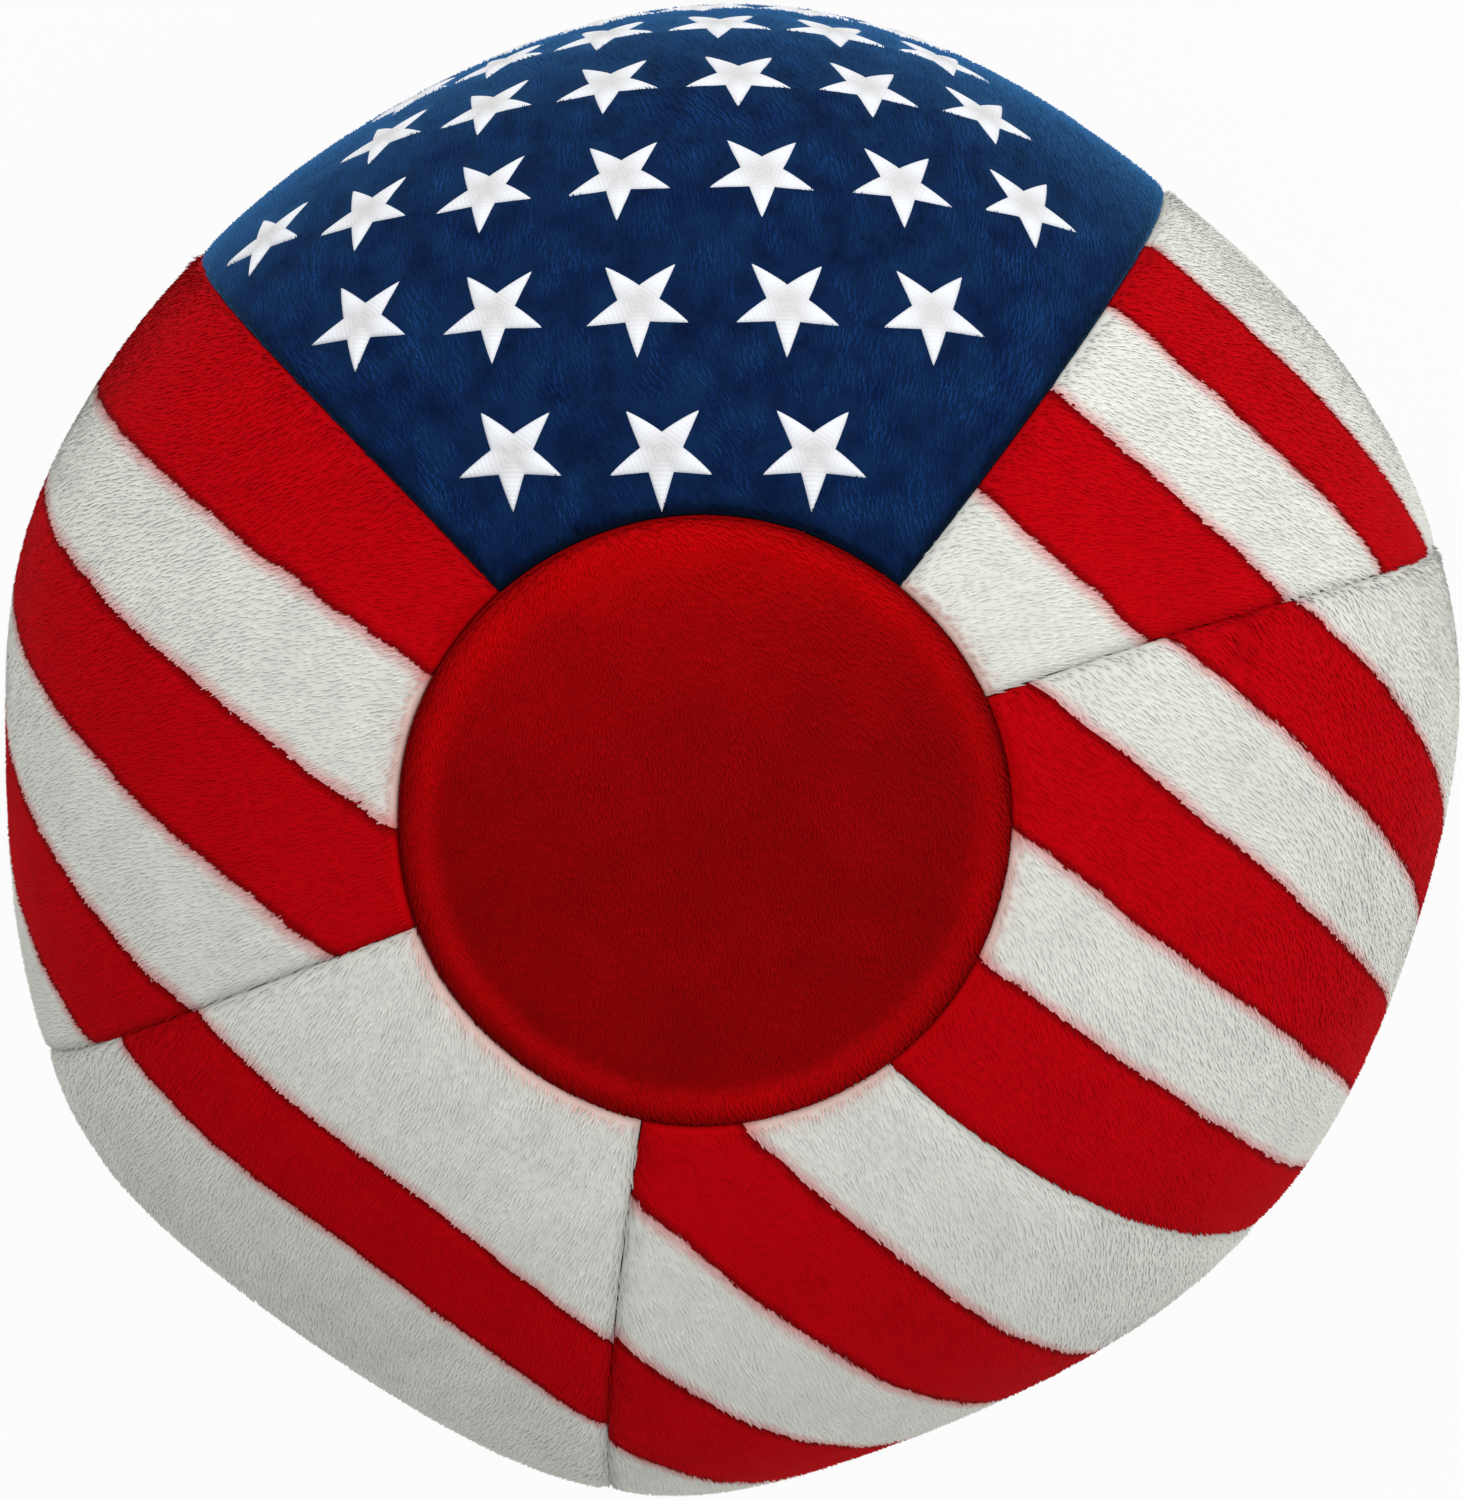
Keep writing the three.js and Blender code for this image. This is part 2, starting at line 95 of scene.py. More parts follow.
# Pile; the pairs are the shares of a height or width between which fibres vary
PLUSH_HEIGHT = 0.13
PLUSH_HEIGHTS = (0.85, 1.15)
PLUSH_SPACING = 0.19
STAR_PANEL_SPACING = 0.205
PLUSH_WIDTH = 0.088
PLUSH_ROOT = 0.05
VELOUR_HEIGHT = 0.12
VELOUR_HEIGHTS = (0.8, 1.2)
VELOUR_SPACING = 0.15
VELOUR_WIDTH = 0.1
VELOUR_ROOT = 0.04
FIBRE_WIDTHS = (0.8, 1.2)
PILE_EDGE = 0.1  # the pile starts this far from a cap seam
CAP_MIDDLE_GAP = 0.02
FLOOR_GAP = 0.02
NAP_TILT = math.radians(75)
VELOUR_TILT = math.radians(70)
NAP = {0: -10, 1: 100, 2: 200, 3: 235, 4: -70, 5: -60}  # each panel's, in degrees on the flat cloth
CAP_NAP = -70
STRAY_LEAN = 0.07
SLOPE_STEP = 0.02
STEEPEST = 1.5  # slope of the cloth beyond which its fibres stop turning with it
ROUNDING = 0.15  # how far a fibre is shaded as a round body, and not as part of the cloth
FIBRE_POINTS = 4
FIBRE_FACES = [[0, 1, 3], [1, 2, 3], [2, 0, 3], [0, 2, 1]]
FIBRE_TIP = [0.0, 0.0, 0.0, 1.0]  # 1 at the point that is the tip
FIBRE_CELL = [[0.1, 0.1], [0.9, 0.1], [0.5, 0.9], [0.5, 0.37]]  # its points in its cell of the texture map

# Noise, with lumps of a size in millimetres; a slice sets noises apart
NOISE_CELLS = 64
SWIRL = {"amount": math.radians(35), "size": 7.0, "seed": 11}
TUFT_DOWN = {"amount": 0.19, "size": 0.8, "seed": 21}
TUFT_SIDE = {"amount": 0.19, "size": 0.8, "seed": 22}
STRIPE_STRAY = {"amount": 0.016, "size": 0.5, "seed": 31}
FINE_STREAK = {"amount": 0.75, "size": 0.6, "seed": 41, "slice": 0}
BROAD_STREAK = {"amount": 0.45, "size": 1.5, "seed": 43, "slice": 40}
VELOUR_PATCH = {"amount": 0.35, "size": 1.2, "seed": 42}
STRIPE_WAVE = {"amount": 0.02, "size": 2.4, "seed": 51}
STRIPE_RIPPLE = {"amount": 0.014, "size": 0.9, "seed": 52}
PANEL_SLICE = 9.0
STREAK_STRETCH = 1.5
PANEL_SEED = 100
CAP_SEED = 200
PELLET_SEED = 300

# Light and dark in the pile, on scales from 0 to 1: tone from tuft to tuft, painted shade, painted bounce
# light and painted sheen
CLOTH_SHADE = 0.4
MIDDLE_SHADE = 0.5
STREAK_SHADE = 0.4
FIBRE_SHADE = 0.1
STAR_SHADE = 0.9
STAR_SHADE_SPREAD = 0.5
SEAM_SPREAD = 0.3
PAINTED_BOUNCE_SPREAD = 0.3
# painted sheen along the caps' rolled rims, and painted light on their side towards the back lamp
PAINTED_RIM_SHEEN = {"amount": 0.45, "at": 1.0, "spread": 0.5}
PAINTED_SIDE_LIGHT = {"amount": 0.72, "azimuth": 100}

# Stripes on the flat cloth: the direction across them in degrees, their first edge and width. They count
# from that edge. The stripe at an end runs on to the seam, and the wide white one for some stripes more.
NO_END = 99
STRIPES = {
    0: {"normal": 47.5, "start": 0.9, "width": 4.92, "ends": (2.15, NO_END), "wide": (6.5, 2)},
    2: {"normal": 57.7, "start": 4.72, "width": 5.45, "ends": (-NO_END, -0.15), "wide": (-5.5, 2)},
    3: {"normal": 52.0, "start": -1.25, "width": 4.19, "ends": (-NO_END, -3.85), "wide": (-5.85, 2.6)},
    4: {"normal": 44.6, "start": 3.0, "width": 4.83, "ends": (-NO_END, -1.15), "wide": (-5.5, 2)},
    5: {"normal": 52.0, "start": 2.28, "width": 4.43, "ends": (-0.85, NO_END), "wide": (4.5, 2)},
}
FIBRE_STRAY = 0.007

# Stars on the flat cloth, with the cap's centre as its origin
STAR_ARMS = 5
STAR_RADIUS = 2.05
STAR_WAIST = 0.4
STAR_BLUNTNESS = 0.92  # below 1 the arms end in a round
STAR_TOP = 0.16
STAR_SINK = 0.16
STAR_FOOT = 0.4
STAR_CREASE = {"amount": 0.3, "spread": 0.12}  # along the lines from the middle to the notches
STAR_DIMPLE = 0.1
FIRST_STAR = (-1.5, 13.2)
STAR_COLUMN = (5.45, 0.0)
STAR_ROW = (-0.95, 5.45)
STAR_ROWS = 10
CAD_STAR_ROWS = 7
STAR_COLUMNS = 5
STAR_BLOCK = (-20.2, 15)
STAR_MARGIN = 0.2
CAD_STAR_RADIUS = 1.9
STAR_STEPS = 9
STAR_PILE_GAP = 0.05
CROPPED = {"least": 0.12, "reach": 0.9}  # the pile is shorter beside a star
NO_STAR = 9.0  # distance to the stars on a panel without any
WELD = 1e-6

# Pellets
FILL_GAP = 0.3
FILL_CLEARANCE = 1.0
FILL_HEAP = 4.0
HEAP_SHOULDER = {"rise": 0.75, "reach": 0.6}
FILL_STEPS = 30
PELLET_RADIUS = 1.5
PELLET_SPACING = 3.05
PELLET_SHOULDER = 0.7
PELLET_BREADTHS = (0.85, 1)
PELLET_HEIGHTS = (0.65, 0.85)

# Colours and finishes
WHITE = (0.93, 0.94, 0.87)
PINK = (0.85, 0.4, 0.39)
RED = (0.6, 0.0, 0.004)
DARK_RED = (0.2, 0.0, 0.001)
# painted red bounce light from the caps, on the white pile beside them
PAINTED_BOUNCE = (0.94, 0.6, 0.58)
BLUES = [(0.0025, 0.015, 0.076), (0.006, 0.036, 0.13)]
BLUE_SHEEN = (0.08, 0.35, 0.8, 1)
VELOUR_REDS = [(0.285, 0.0, 0.0005), (0.34, 0.0, 0.001)]
VELOUR_PAINTED_LIGHT = 2.0
SATIN_MIDDLE = (0.68, 0.68, 0.68)
SATIN_ARM = (0.87, 0.89, 0.94)
SATIN_STITCH = 0.17
THREAD_COLOURS = [(0.03, 0.004, 0.005), (0.07, 0.01, 0.012)]
PELLET_COLOURS = [(0.6, 0.55, 0.43), (0.74, 0.7, 0.59)]
PATCH_COLOURS = [(0.96, 0.96, 0.96), (1.0, 1.0, 1.0)]
CLOTH_GLOSS = 0.05
MOTTLE_LEVELS = (0.3, 0.7)  # of the noise, at which two colours are pure
TUFT_LEVELS = (0.1, 0.9)  # of the shade, at which a tuft is dark and light
SATIN_LEVELS = (0.12, 0.5)  # shares of the way out along a star's arm
SATIN_LINE = 0.94
# Shares of a pile's colour that are left in the painted shade at its roots, in its dark and light tufts and in
# the painted shade at a seam
STRIPED_PILE = {"root": 0.95, "dark": 0.86, "light": 1.0, "seam": 0.78}
BLUE_PILE = {"root": 0.7, "dark": 0.45, "light": 1.5, "seam": 0.15}
VELOUR_PILE = {"root": 0.92, "dark": 0.88, "light": 1.08, "seam": 0.6}
# Edges of the stripes, as shares of a white and a red one together; the dark red at a red stripe's edges is a
# painted shadow line
PINK_EDGE = 0.055
DARK_EDGE = 0.04
SHARP_EDGE = 0.003
LAST_EDGE = 0.002

# Camera, from the photograph
CAMERA_DISTANCE = 320.0
CAMERA_LEAN = math.radians(7.4)
CAMERA_LEAN_AZIMUTH = math.radians(76.8)
CAMERA_LENS = 201.6
CAMERA_SHIFT = (0.0073, -0.0013)
CAMERA_CLIP = 0.01

# Light and floor, in metres and watts
AMBIENT = 0.44
AMBIENT_SLANT = 0.42
WINDOW = (0.15, 0.62, 0.77)  # the side that the soft light comes from
LAMPS = [
    {"name": "back_light", "place": (-0.04, 0.56, 0.36), "power": 2.5},
    {"name": "side_light", "place": (0.56, -0.04, 0.36), "power": 1.6},
]
LAMP_SIZE = 1.0
LAMP_AIM = (0, 0, 0.02)
FLOOR = 3.0
FLOOR_COLOUR = (0.62, 0.62, 0.6, 1)
FLOOR_GLOW = 0.95  # share of plain white in what the camera sees of it


# Shape of the bag
FLAT_SHARE = (1 - (REST_RADIUS / WAIST_RADIUS) ** FULLNESS) ** (1 / FULLNESS)
HALF_HEIGHT = HEIGHT / (1 + FLAT_SHARE)


def make_meridian():
    """The side profile as a fine chain: running length from the top centre, radius and level."""
    angle = np.linspace(0, np.pi, PROFILE_STEPS + 1)
    radius = WAIST_RADIUS * np.maximum(0, np.sin(angle)) ** (2 / FULLNESS)
    rise = HALF_HEIGHT * np.sign(np.cos(angle)) * np.abs(np.cos(angle)) ** (2 / FULLNESS)
    level = np.maximum(0, HEIGHT - HALF_HEIGHT + rise)
    steps = np.hypot(np.diff(radius), np.diff(level))
    return np.concatenate([[0], np.cumsum(steps)]), radius, level


LENGTHS, RADII, LEVELS = make_meridian()
OUTWARD = -np.gradient(LEVELS, LENGTHS)
UPWARD = np.gradient(RADII, LENGTHS)
TOTAL_LENGTH = LENGTHS[-1]
TOP_SEAM = LENGTHS[np.argmax(RADII >= CAP_RADIUS)]
BOTTOM_SEAM = LENGTHS[len(RADII) - 1 - np.argmax(RADII[::-1] >= CAP_RADIUS)]
WAIST_LENGTH = LENGTHS[PROFILE_STEPS // 2]


def profile(length):
    """Radius, level and the normal's outward and upward shares at a length from the top centre."""
    curves = (RADII, LEVELS, OUTWARD, UPWARD)
    radius, level, outward, upward = (np.interp(length, LENGTHS, curve) for curve in curves)
    size = np.hypot(outward, upward)
    return radius, level, outward / size, upward / size


def length_at(level, radius):
    """The running length of the profile nearest to a level and radius."""
    return LENGTHS[np.argmin((LEVELS - level) ** 2 + (RADII - radius) ** 2)]


def outline(azimuth):
    """How far the outline leaves the circle, as a share of the radius."""
    total = 0
    for place, width, amount in BULGES:
        turn = azimuth - math.radians(place)
        total = total + amount * np.exp((np.cos(turn) - 1) / math.radians(width) ** 2)
    for shape in (OVAL, SIX_SIDED):
        turn = azimuth - math.radians(shape["azimuth"])
        total = total + shape["amount"] * np.cos(shape["lobes"] * turn)
    return total


def surface(azimuth, length, depth):
    """Points at a depth under the pile surface."""
    radius, level, outward, upward = profile(length)
    swell = 1 + outline(azimuth) * (radius / WAIST_RADIUS) ** 2
    reach = radius * swell - outward * depth
    return np.stack([reach * np.cos(azimuth), reach * np.sin(azimuth), level - upward * depth], -1)


def raised(azimuth, length):
    """How far the outline lifts the surface off the round bag."""
    radius, _, outward, _ = profile(length)
    return radius * outline(azimuth) * (radius / WAIST_RADIUS) ** 2 * outward


def directions(azimuth, length):
    """Normal, downhill and sideways directions of the surface."""
    _, _, outward, upward = profile(length)
    cos, sin = np.cos(azimuth), np.sin(azimuth)
    normal = np.stack([outward * cos, outward * sin, upward], -1)
    downhill = np.stack([upward * cos, upward * sin, -outward], -1)
    sideways = np.stack([-sin, cos, np.zeros_like(cos)], -1)
    return normal, downhill, sideways


def moved_place(azimuth, length, step):
    """The place above a point that is a step away from a place."""
    _, downhill, sideways = directions(azimuth, length)
    turn = np.sum(step * sideways, axis=1) / profile(length)[0]
    return azimuth + turn, length + np.sum(step * downhill, axis=1)


def seam_azimuth(seam, length):
    """Azimuth of a side seam, which bows between the caps; seams count on past a full turn."""
    bow = np.sin(np.pi * (length - TOP_SEAM) / (BOTTOM_SEAM - TOP_SEAM))
    cap, waist = SEAMS[seam % len(SEAMS)]
    turns = 360 * (seam // len(SEAMS))
    return np.radians(turns + cap + (waist - cap) * bow)


def panel_centre(panel):
    """Azimuth of a panel's middle line, halfway down."""
    middle = (TOP_SEAM + BOTTOM_SEAM) / 2
    return (seam_azimuth(panel, middle) + seam_azimuth(panel + 1, middle)) / 2


def panel_place(panel, across, down, inset):
    """A place on a panel from its shares across and down, kept an inset away from the seams."""
    length = TOP_SEAM + inset + (BOTTOM_SEAM - TOP_SEAM - 2 * inset) * down
    turn = inset / profile(length)[0]
    left = seam_azimuth(panel, length) + turn
    right = seam_azimuth(panel + 1, length) - turn
    return left + (right - left) * across, length


def cap_room(length):
    """Distance from a place on a panel to the nearest cap seam."""
    return np.minimum(length - TOP_SEAM, BOTTOM_SEAM - length)


def panel_rooms(panel, azimuth, length):
    """Distances to the nearest side seam and to the nearest cap seam."""
    radius = profile(length)[0]
    left = (azimuth - seam_azimuth(panel, length)) * radius
    right = (seam_azimuth(panel + 1, length) - azimuth) * radius
    return np.minimum(left, right), cap_room(length)


def sunk(room, groove):
    """Depth of a groove at a distance from its seam."""
    depth, spread = groove
    return depth * np.exp(-np.maximum(room, 0) / spread)


def fading(distance, spread):
    """1 at no distance, fading smoothly to 0."""
    return np.exp(-((distance / spread) ** 2))


def hump(room, shape):
    """A smooth hump at its own distance from a seam."""
    return shape["amount"] * fading(room - shape["at"], shape["spread"])


def crease(azimuth, length):
    """Depth of the short fold at a place on its panel."""
    turn = math.radians(CREASE["turn"])
    across = (azimuth - math.radians(CREASE["azimuth"])) * profile(CREASE["length"])[0]
    along = length - CREASE["length"]
    off = along * math.cos(turn) - across * math.sin(turn)
    run = across * math.cos(turn) + along * math.sin(turn)
    return CREASE_DEPTH * np.exp(-((off / CREASE_WIDTH) ** 2) - (run / CREASE["reach"]) ** 4)


def panel_depth(panel, azimuth, length):
    """Depth of a side panel's cloth under the pile surface."""
    side, cap = panel_rooms(panel, azimuth, length)
    sides = sunk(side, SIDE_GROOVE) + sunk(side, SIDE_HOLLOW)
    caps = sunk(cap, CAP_GROOVE) + sunk(cap, CAP_HOLLOW)
    fold = crease(azimuth, length) if panel == CREASE["panel"] else 0
    return PLUSH_HEIGHT + np.maximum(sides, caps) + SEAM_MEETING * np.minimum(sides, caps) + fold


def cap_depth(room, top):
    """Depth of a cap's cloth: a rolled rim, a faint hollow inside it, and on top a low crown."""
    crown = CROWN["amount"] * np.minimum(room / CROWN["reach"], 1) if top else 0
    rim = CAP_SINK + sunk(room, RIM_GROOVE) - hump(room, RIM_ROLL) + hump(room, RIM_HOLLOW)
    return VELOUR_HEIGHT + rim - crown


def cap_reach(top):
    """Distance over the cloth from a cap's seam to its middle."""
    return TOP_SEAM if top else TOTAL_LENGTH - BOTTOM_SEAM


def cap_lengths(top, room):
    """Running lengths on a cap at a distance inside its seam."""
    return TOP_SEAM - room if top else BOTTOM_SEAM + room


def flat_place(azimuth, length, centre):
    """Place on the flat cloth: spread from the cap's centre above the waist, hanging straight below it."""
    narrowing = np.where(length > WAIST_LENGTH, profile(length)[0] / WAIST_RADIUS, 1)
    turn = centre + (azimuth - centre) * narrowing
    upper = np.minimum(length, WAIST_LENGTH)
    lower = length - upper
    return upper * np.cos(turn) + lower * np.cos(centre), upper * np.sin(turn) + lower * np.sin(centre)


def from_flat(x, y, centre):
    """The way back from the flat cloth to a place on the bag."""
    if math.hypot(x, y) <= WAIST_LENGTH:
        return math.atan2(y, x), math.hypot(x, y)
    across = y * math.cos(centre) - x * math.sin(centre)
    along = x * math.cos(centre) + y * math.sin(centre)
    length = WAIST_LENGTH + along - math.sqrt(WAIST_LENGTH**2 - across**2)
    narrowing = WAIST_RADIUS / profile(length)[0]
    return centre + math.asin(across / WAIST_LENGTH) * narrowing, length


# Noise and shading values
def lumps(points, noise):
    """Smooth noise at points, its amount either way."""
    table = np.random.default_rng(noise["seed"]).uniform(-1, 1, (NOISE_CELLS,) * 3)
    place = points / noise["size"]
    cell = np.floor(place).astype(int)
    part = place - cell
    part = part * part * (3 - 2 * part)
    total = np.zeros(len(points))
    for corner in np.ndindex(2, 2, 2):
        weight = np.prod(np.where(np.array(corner) == 1, part, 1 - part), axis=-1)
        index = (cell + np.array(corner)) % NOISE_CELLS
        total += weight * table[index[:, 0], index[:, 1], index[:, 2]]
    return noise["amount"] * total


def streaks(x, y, nap):
    """Noise on the flat cloth, drawn out along the nap as tufts are."""
    cos, sin = math.cos(math.radians(nap)), math.sin(math.radians(nap))
    along = (x * cos + y * sin) / STREAK_STRETCH
    across = y * cos - x * sin
    total = 0
    for streak in (FINE_STREAK, BROAD_STREAK):
        total = total + lumps(np.stack([along, across, np.full_like(x, streak["slice"])], -1), streak)
    return total


def stripe_band(panel, azimuth, length):
    """Which stripe a place lies in: whole numbers are the stripes' edges."""
    x, y = flat_place(azimuth, length, panel_centre(panel))
    stripes = STRIPES[panel]
    normal = math.radians(stripes["normal"])
    along = x * math.cos(normal) + y * math.sin(normal)
    spots = np.stack([x, y, np.full_like(x, PANEL_SLICE * panel)], -1)
    wave = lumps(spots, STRIPE_WAVE) + lumps(spots, STRIPE_RIPPLE)
    band = np.clip((along - stripes["start"]) / stripes["width"] + wave, *stripes["ends"])
    edge, more = stripes["wide"]
    side = np.sign(edge)
    beyond = (band - edge) * side
    return np.where(beyond > 0, edge + side * np.maximum(beyond - more, 0), band)


def cap_blush(length):
    """Painted red bounce light from the caps on the pile beside them, from 0 to 1."""
    return fading(cap_room(length), PAINTED_BOUNCE_SPREAD)


def seam_shadow(panel, azimuth, length):
    """Painted shade at a seam or crease, from 0 to 1; at the caps striped panels get painted bounce light
    instead.
    """
    side, cap = panel_rooms(panel, azimuth, length)
    dark = fading(side if panel in STRIPES else np.minimum(side, cap), SEAM_SPREAD)
    if panel == CREASE["panel"]:
        dark = np.maximum(dark, crease(azimuth, length) / CREASE_DEPTH)
    return dark


def painted_cap_light(azimuth, room, reach):
    """Painted light on the velour: a painted sheen along its rolled rim, and painted light on the side towards
    the back lamp.
    """
    facing = np.maximum(0, np.cos(azimuth - math.radians(PAINTED_SIDE_LIGHT["azimuth"])))
    painted_lit_side = ((1 - room / reach) * facing) ** 2
    return np.minimum(1, hump(room, PAINTED_RIM_SHEEN) + PAINTED_SIDE_LIGHT["amount"] * painted_lit_side)


# Meshes
def show(name, data):
    """A new object in the scene."""
    item = bpy.data.objects.new(name, data)
    scene.collection.objects.link(item)
    return item


def as_piece(name, mesh, material, body):
    """A piece from a finished mesh, riding on a body."""
    mesh.materials.append(material)
    piece = show(name, mesh)
    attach(piece, body)
    return piece


def add_piece(name, points, faces, material, body):
    """A smooth piece from points in millimetres."""
    mesh = bpy.data.meshes.new(name)
    mesh.from_pydata((points * MM).tolist(), [], faces)
    mesh.update()
    mesh.shade_smooth()
    return as_piece(name, mesh, material, body)


def set_values(piece, **named):
    """Stores a number for each point, or one for all, under each name, for the material to read."""
    for name, values in named.items():
        layer = piece.data.attributes.new(name, "FLOAT", "POINT")
        layer.data.foreach_set("value", np.full(len(piece.data.vertices), values, np.float32))


def set_fibre_values(piece, **named):
    """Stores a number for each fibre under each name, and which of its points is the tip."""
    repeated = {name: np.repeat(values, FIBRE_POINTS) for name, values in named.items()}
    set_values(piece, tip=np.tile(FIBRE_TIP, len(piece.data.vertices) // FIBRE_POINTS), **repeated)


def unit(vectors):
    return vectors / np.linalg.norm(vectors, axis=-1, keepdims=True)


def spikes(name, roots, tips, width, normals, material):
    """Fibres as closed three-sided spikes, a flat side up."""
    count = len(roots)
    along = unit(tips - roots)
    side = unit(np.cross(along, normals))
    under = np.cross(along, side)
    breadth = width[:, None]
    points = np.stack([roots + breadth * side, roots + breadth * under, roots - breadth * side, tips], 1)
    faces = (FIBRE_POINTS * np.arange(count)[:, None, None] + np.array(FIBRE_FACES)).reshape(-1, 3)
    mesh = bpy.data.meshes.new(name)
    mesh.vertices.add(FIBRE_POINTS * count)
    mesh.vertices.foreach_set("co", (points * MM).astype(np.float32).ravel())
    mesh.loops.add(faces.size)
    mesh.loops.foreach_set("vertex_index", faces.astype(np.int32).ravel())
    mesh.polygons.add(len(faces))
    mesh.polygons.foreach_set("loop_start", np.arange(0, faces.size, 3, dtype=np.int32))
    mesh.update(calc_edges=True)
    mesh.shade_smooth()
    soft = normals[:, None] + ROUNDING * (points - roots[:, None]) / width[:, None, None]
    soft[:, 3] = normals
    mesh.normals_split_custom_set_from_vertices(soft.reshape(-1, 3).astype(np.float32))
    map_spikes(mesh, faces, count)
    return as_piece(name, mesh, material, SHELL)


def map_spikes(mesh, faces, count):
    """Gives each fibre a cell of its own in the texture map."""
    cells = math.ceil(math.sqrt(count))
    number = faces.ravel() // FIBRE_POINTS
    corner = np.array(FIBRE_CELL)[faces.ravel() % FIBRE_POINTS]
    places = np.stack([number % cells, number // cells], -1) + corner
    layer = mesh.uv_layers.new(name="OFBake")
    layer.data.foreach_set("uv", (places / cells).astype(np.float32).ravel())


def grid_faces(rows, columns, start, flip):
    """Four-sided faces of a grid of points."""
    first = (start + columns * np.arange(rows - 1)[:, None] + np.arange(columns - 1)).ravel()
    faces = np.stack([first, first + columns, first + columns + 1, first + 1], -1)
    return (faces[:, ::-1] if flip else faces).tolist()


def grid_border(rows, columns):
    """Indices round the edge of a grid."""
    grid = np.arange(rows * columns).reshape(rows, columns)
    return np.concatenate([grid[0], grid[1:, -1], grid[-1, -2::-1], grid[-2:0:-1, 0]]).tolist()


def band_faces(first, second):
    """Faces between two closed rows of point numbers."""
    count = len(first)
    return [(first[k], first[(k + 1) % count], second[(k + 1) % count], second[k]) for k in range(count)]


# Pile
def cloth_normals(azimuth, length, depth_at):
    """Normals of the cloth itself, which tilt where it is drawn down into a seam."""
    normal, downhill, sideways = directions(azimuth, length)
    turn = SLOPE_STEP / profile(length)[0]

    def sink(a, b):
        return depth_at(a, b) - raised(a, b)

    def slope(a, b):
        drop = sink(azimuth + a, length + b) - sink(azimuth - a, length - b)
        return np.clip(drop / (2 * SLOPE_STEP), -STEEPEST, STEEPEST)[:, None]

    return unit(normal + slope(0, SLOPE_STEP) * downhill + slope(turn, 0) * sideways)


def lean(azimuth, length, centre, nap, tilt, points, normal, random):
    """Directions of fibres that lie along the nap, gather in tufts and stray a little."""
    _, downhill, sideways = directions(azimuth, length)
    turn = np.where(length > WAIST_LENGTH, centre, azimuth)
    angle = math.radians(nap) + lumps(points, SWIRL) - turn
    flat = np.cos(angle)[:, None] * downhill + np.sin(angle)[:, None] * sideways
    flat = unit(flat - np.sum(flat * normal, axis=1, keepdims=True) * normal)
    way = math.cos(tilt) * normal + math.sin(tilt) * flat
    for tuft, direction in ((TUFT_DOWN, downhill), (TUFT_SIDE, sideways)):
        stray = lumps(points, tuft) + STRAY_LEAN * random.normal(size=len(points))
        way = way + stray[:, None] * direction
    return unit(way)


def scattered(panel, spacing, random):
    """Jittered places all over a side panel."""
    azimuths, lengths = [], []
    for row in np.arange(TOP_SEAM + spacing / 2, BOTTOM_SEAM, spacing):
        left = seam_azimuth(panel, row)
        right = seam_azimuth(panel + 1, row)
        count = max(1, int((right - left) * profile(row)[0] / spacing))
        share = (np.arange(count) + random.uniform(0, 1, count)) / count
        azimuths.append(left + (right - left) * share)
        lengths.append(row + spacing * random.uniform(-0.5, 0.5, count))
    length = np.clip(np.concatenate(lengths), TOP_SEAM + PILE_EDGE, BOTTOM_SEAM - PILE_EDGE)
    return np.concatenate(azimuths), length


def cap_scattered(top, random):
    """Jittered places all over a cap, with their distances inside its seam."""
    azimuths, rooms = [], []
    for room in np.arange(SEAM_GAP / 2, cap_reach(top), VELOUR_SPACING):
        radius = profile(cap_lengths(top, room))[0]
        count = max(1, int(2 * np.pi * radius / VELOUR_SPACING))
        azimuths.append(2 * np.pi * (np.arange(count) + random.uniform(0, 1, count)) / count)
        rooms.append(room + VELOUR_SPACING * random.uniform(-0.5, 0.5, count))
    room = np.clip(np.concatenate(rooms), PILE_EDGE, cap_reach(top) - CAP_MIDDLE_GAP)
    return np.concatenate(azimuths), room


# Panels
def edge_shares(count):
    """Shares from 0 to 1 that lie closer together towards both ends."""
    even = np.linspace(0, 1, count)
    return even - EDGE_CROWDING * np.sin(2 * np.pi * even) / (2 * np.pi)


def panel_grid(panel):
    """Rows and columns of a panel's grid, and its points' shares across and down."""
    breadth = (seam_azimuth(panel + 1, WAIST_LENGTH) - seam_azimuth(panel, WAIST_LENGTH)) * WAIST_RADIUS
    columns = int(breadth / GRID_STEP) + 1
    rows = int((BOTTOM_SEAM - TOP_SEAM) / GRID_STEP) + 1
    down, across = np.meshgrid(edge_shares(rows), edge_shares(columns), indexing="ij")
    return rows, columns, across.ravel(), down.ravel()


def panel_faces(rows, columns, border):
    """Faces of a panel's pile side and lining, joined by its turned-in edge."""
    count = rows * columns
    fold = list(range(2 * count, 2 * count + len(border)))
    hem = [number + len(border) for number in fold]
    lining = [number + count for number in border]
    faces = grid_faces(rows, columns, 0, False) + grid_faces(rows, columns, count, True)
    return faces + band_faces(border, fold) + band_faces(fold, hem) + band_faces(hem, lining)


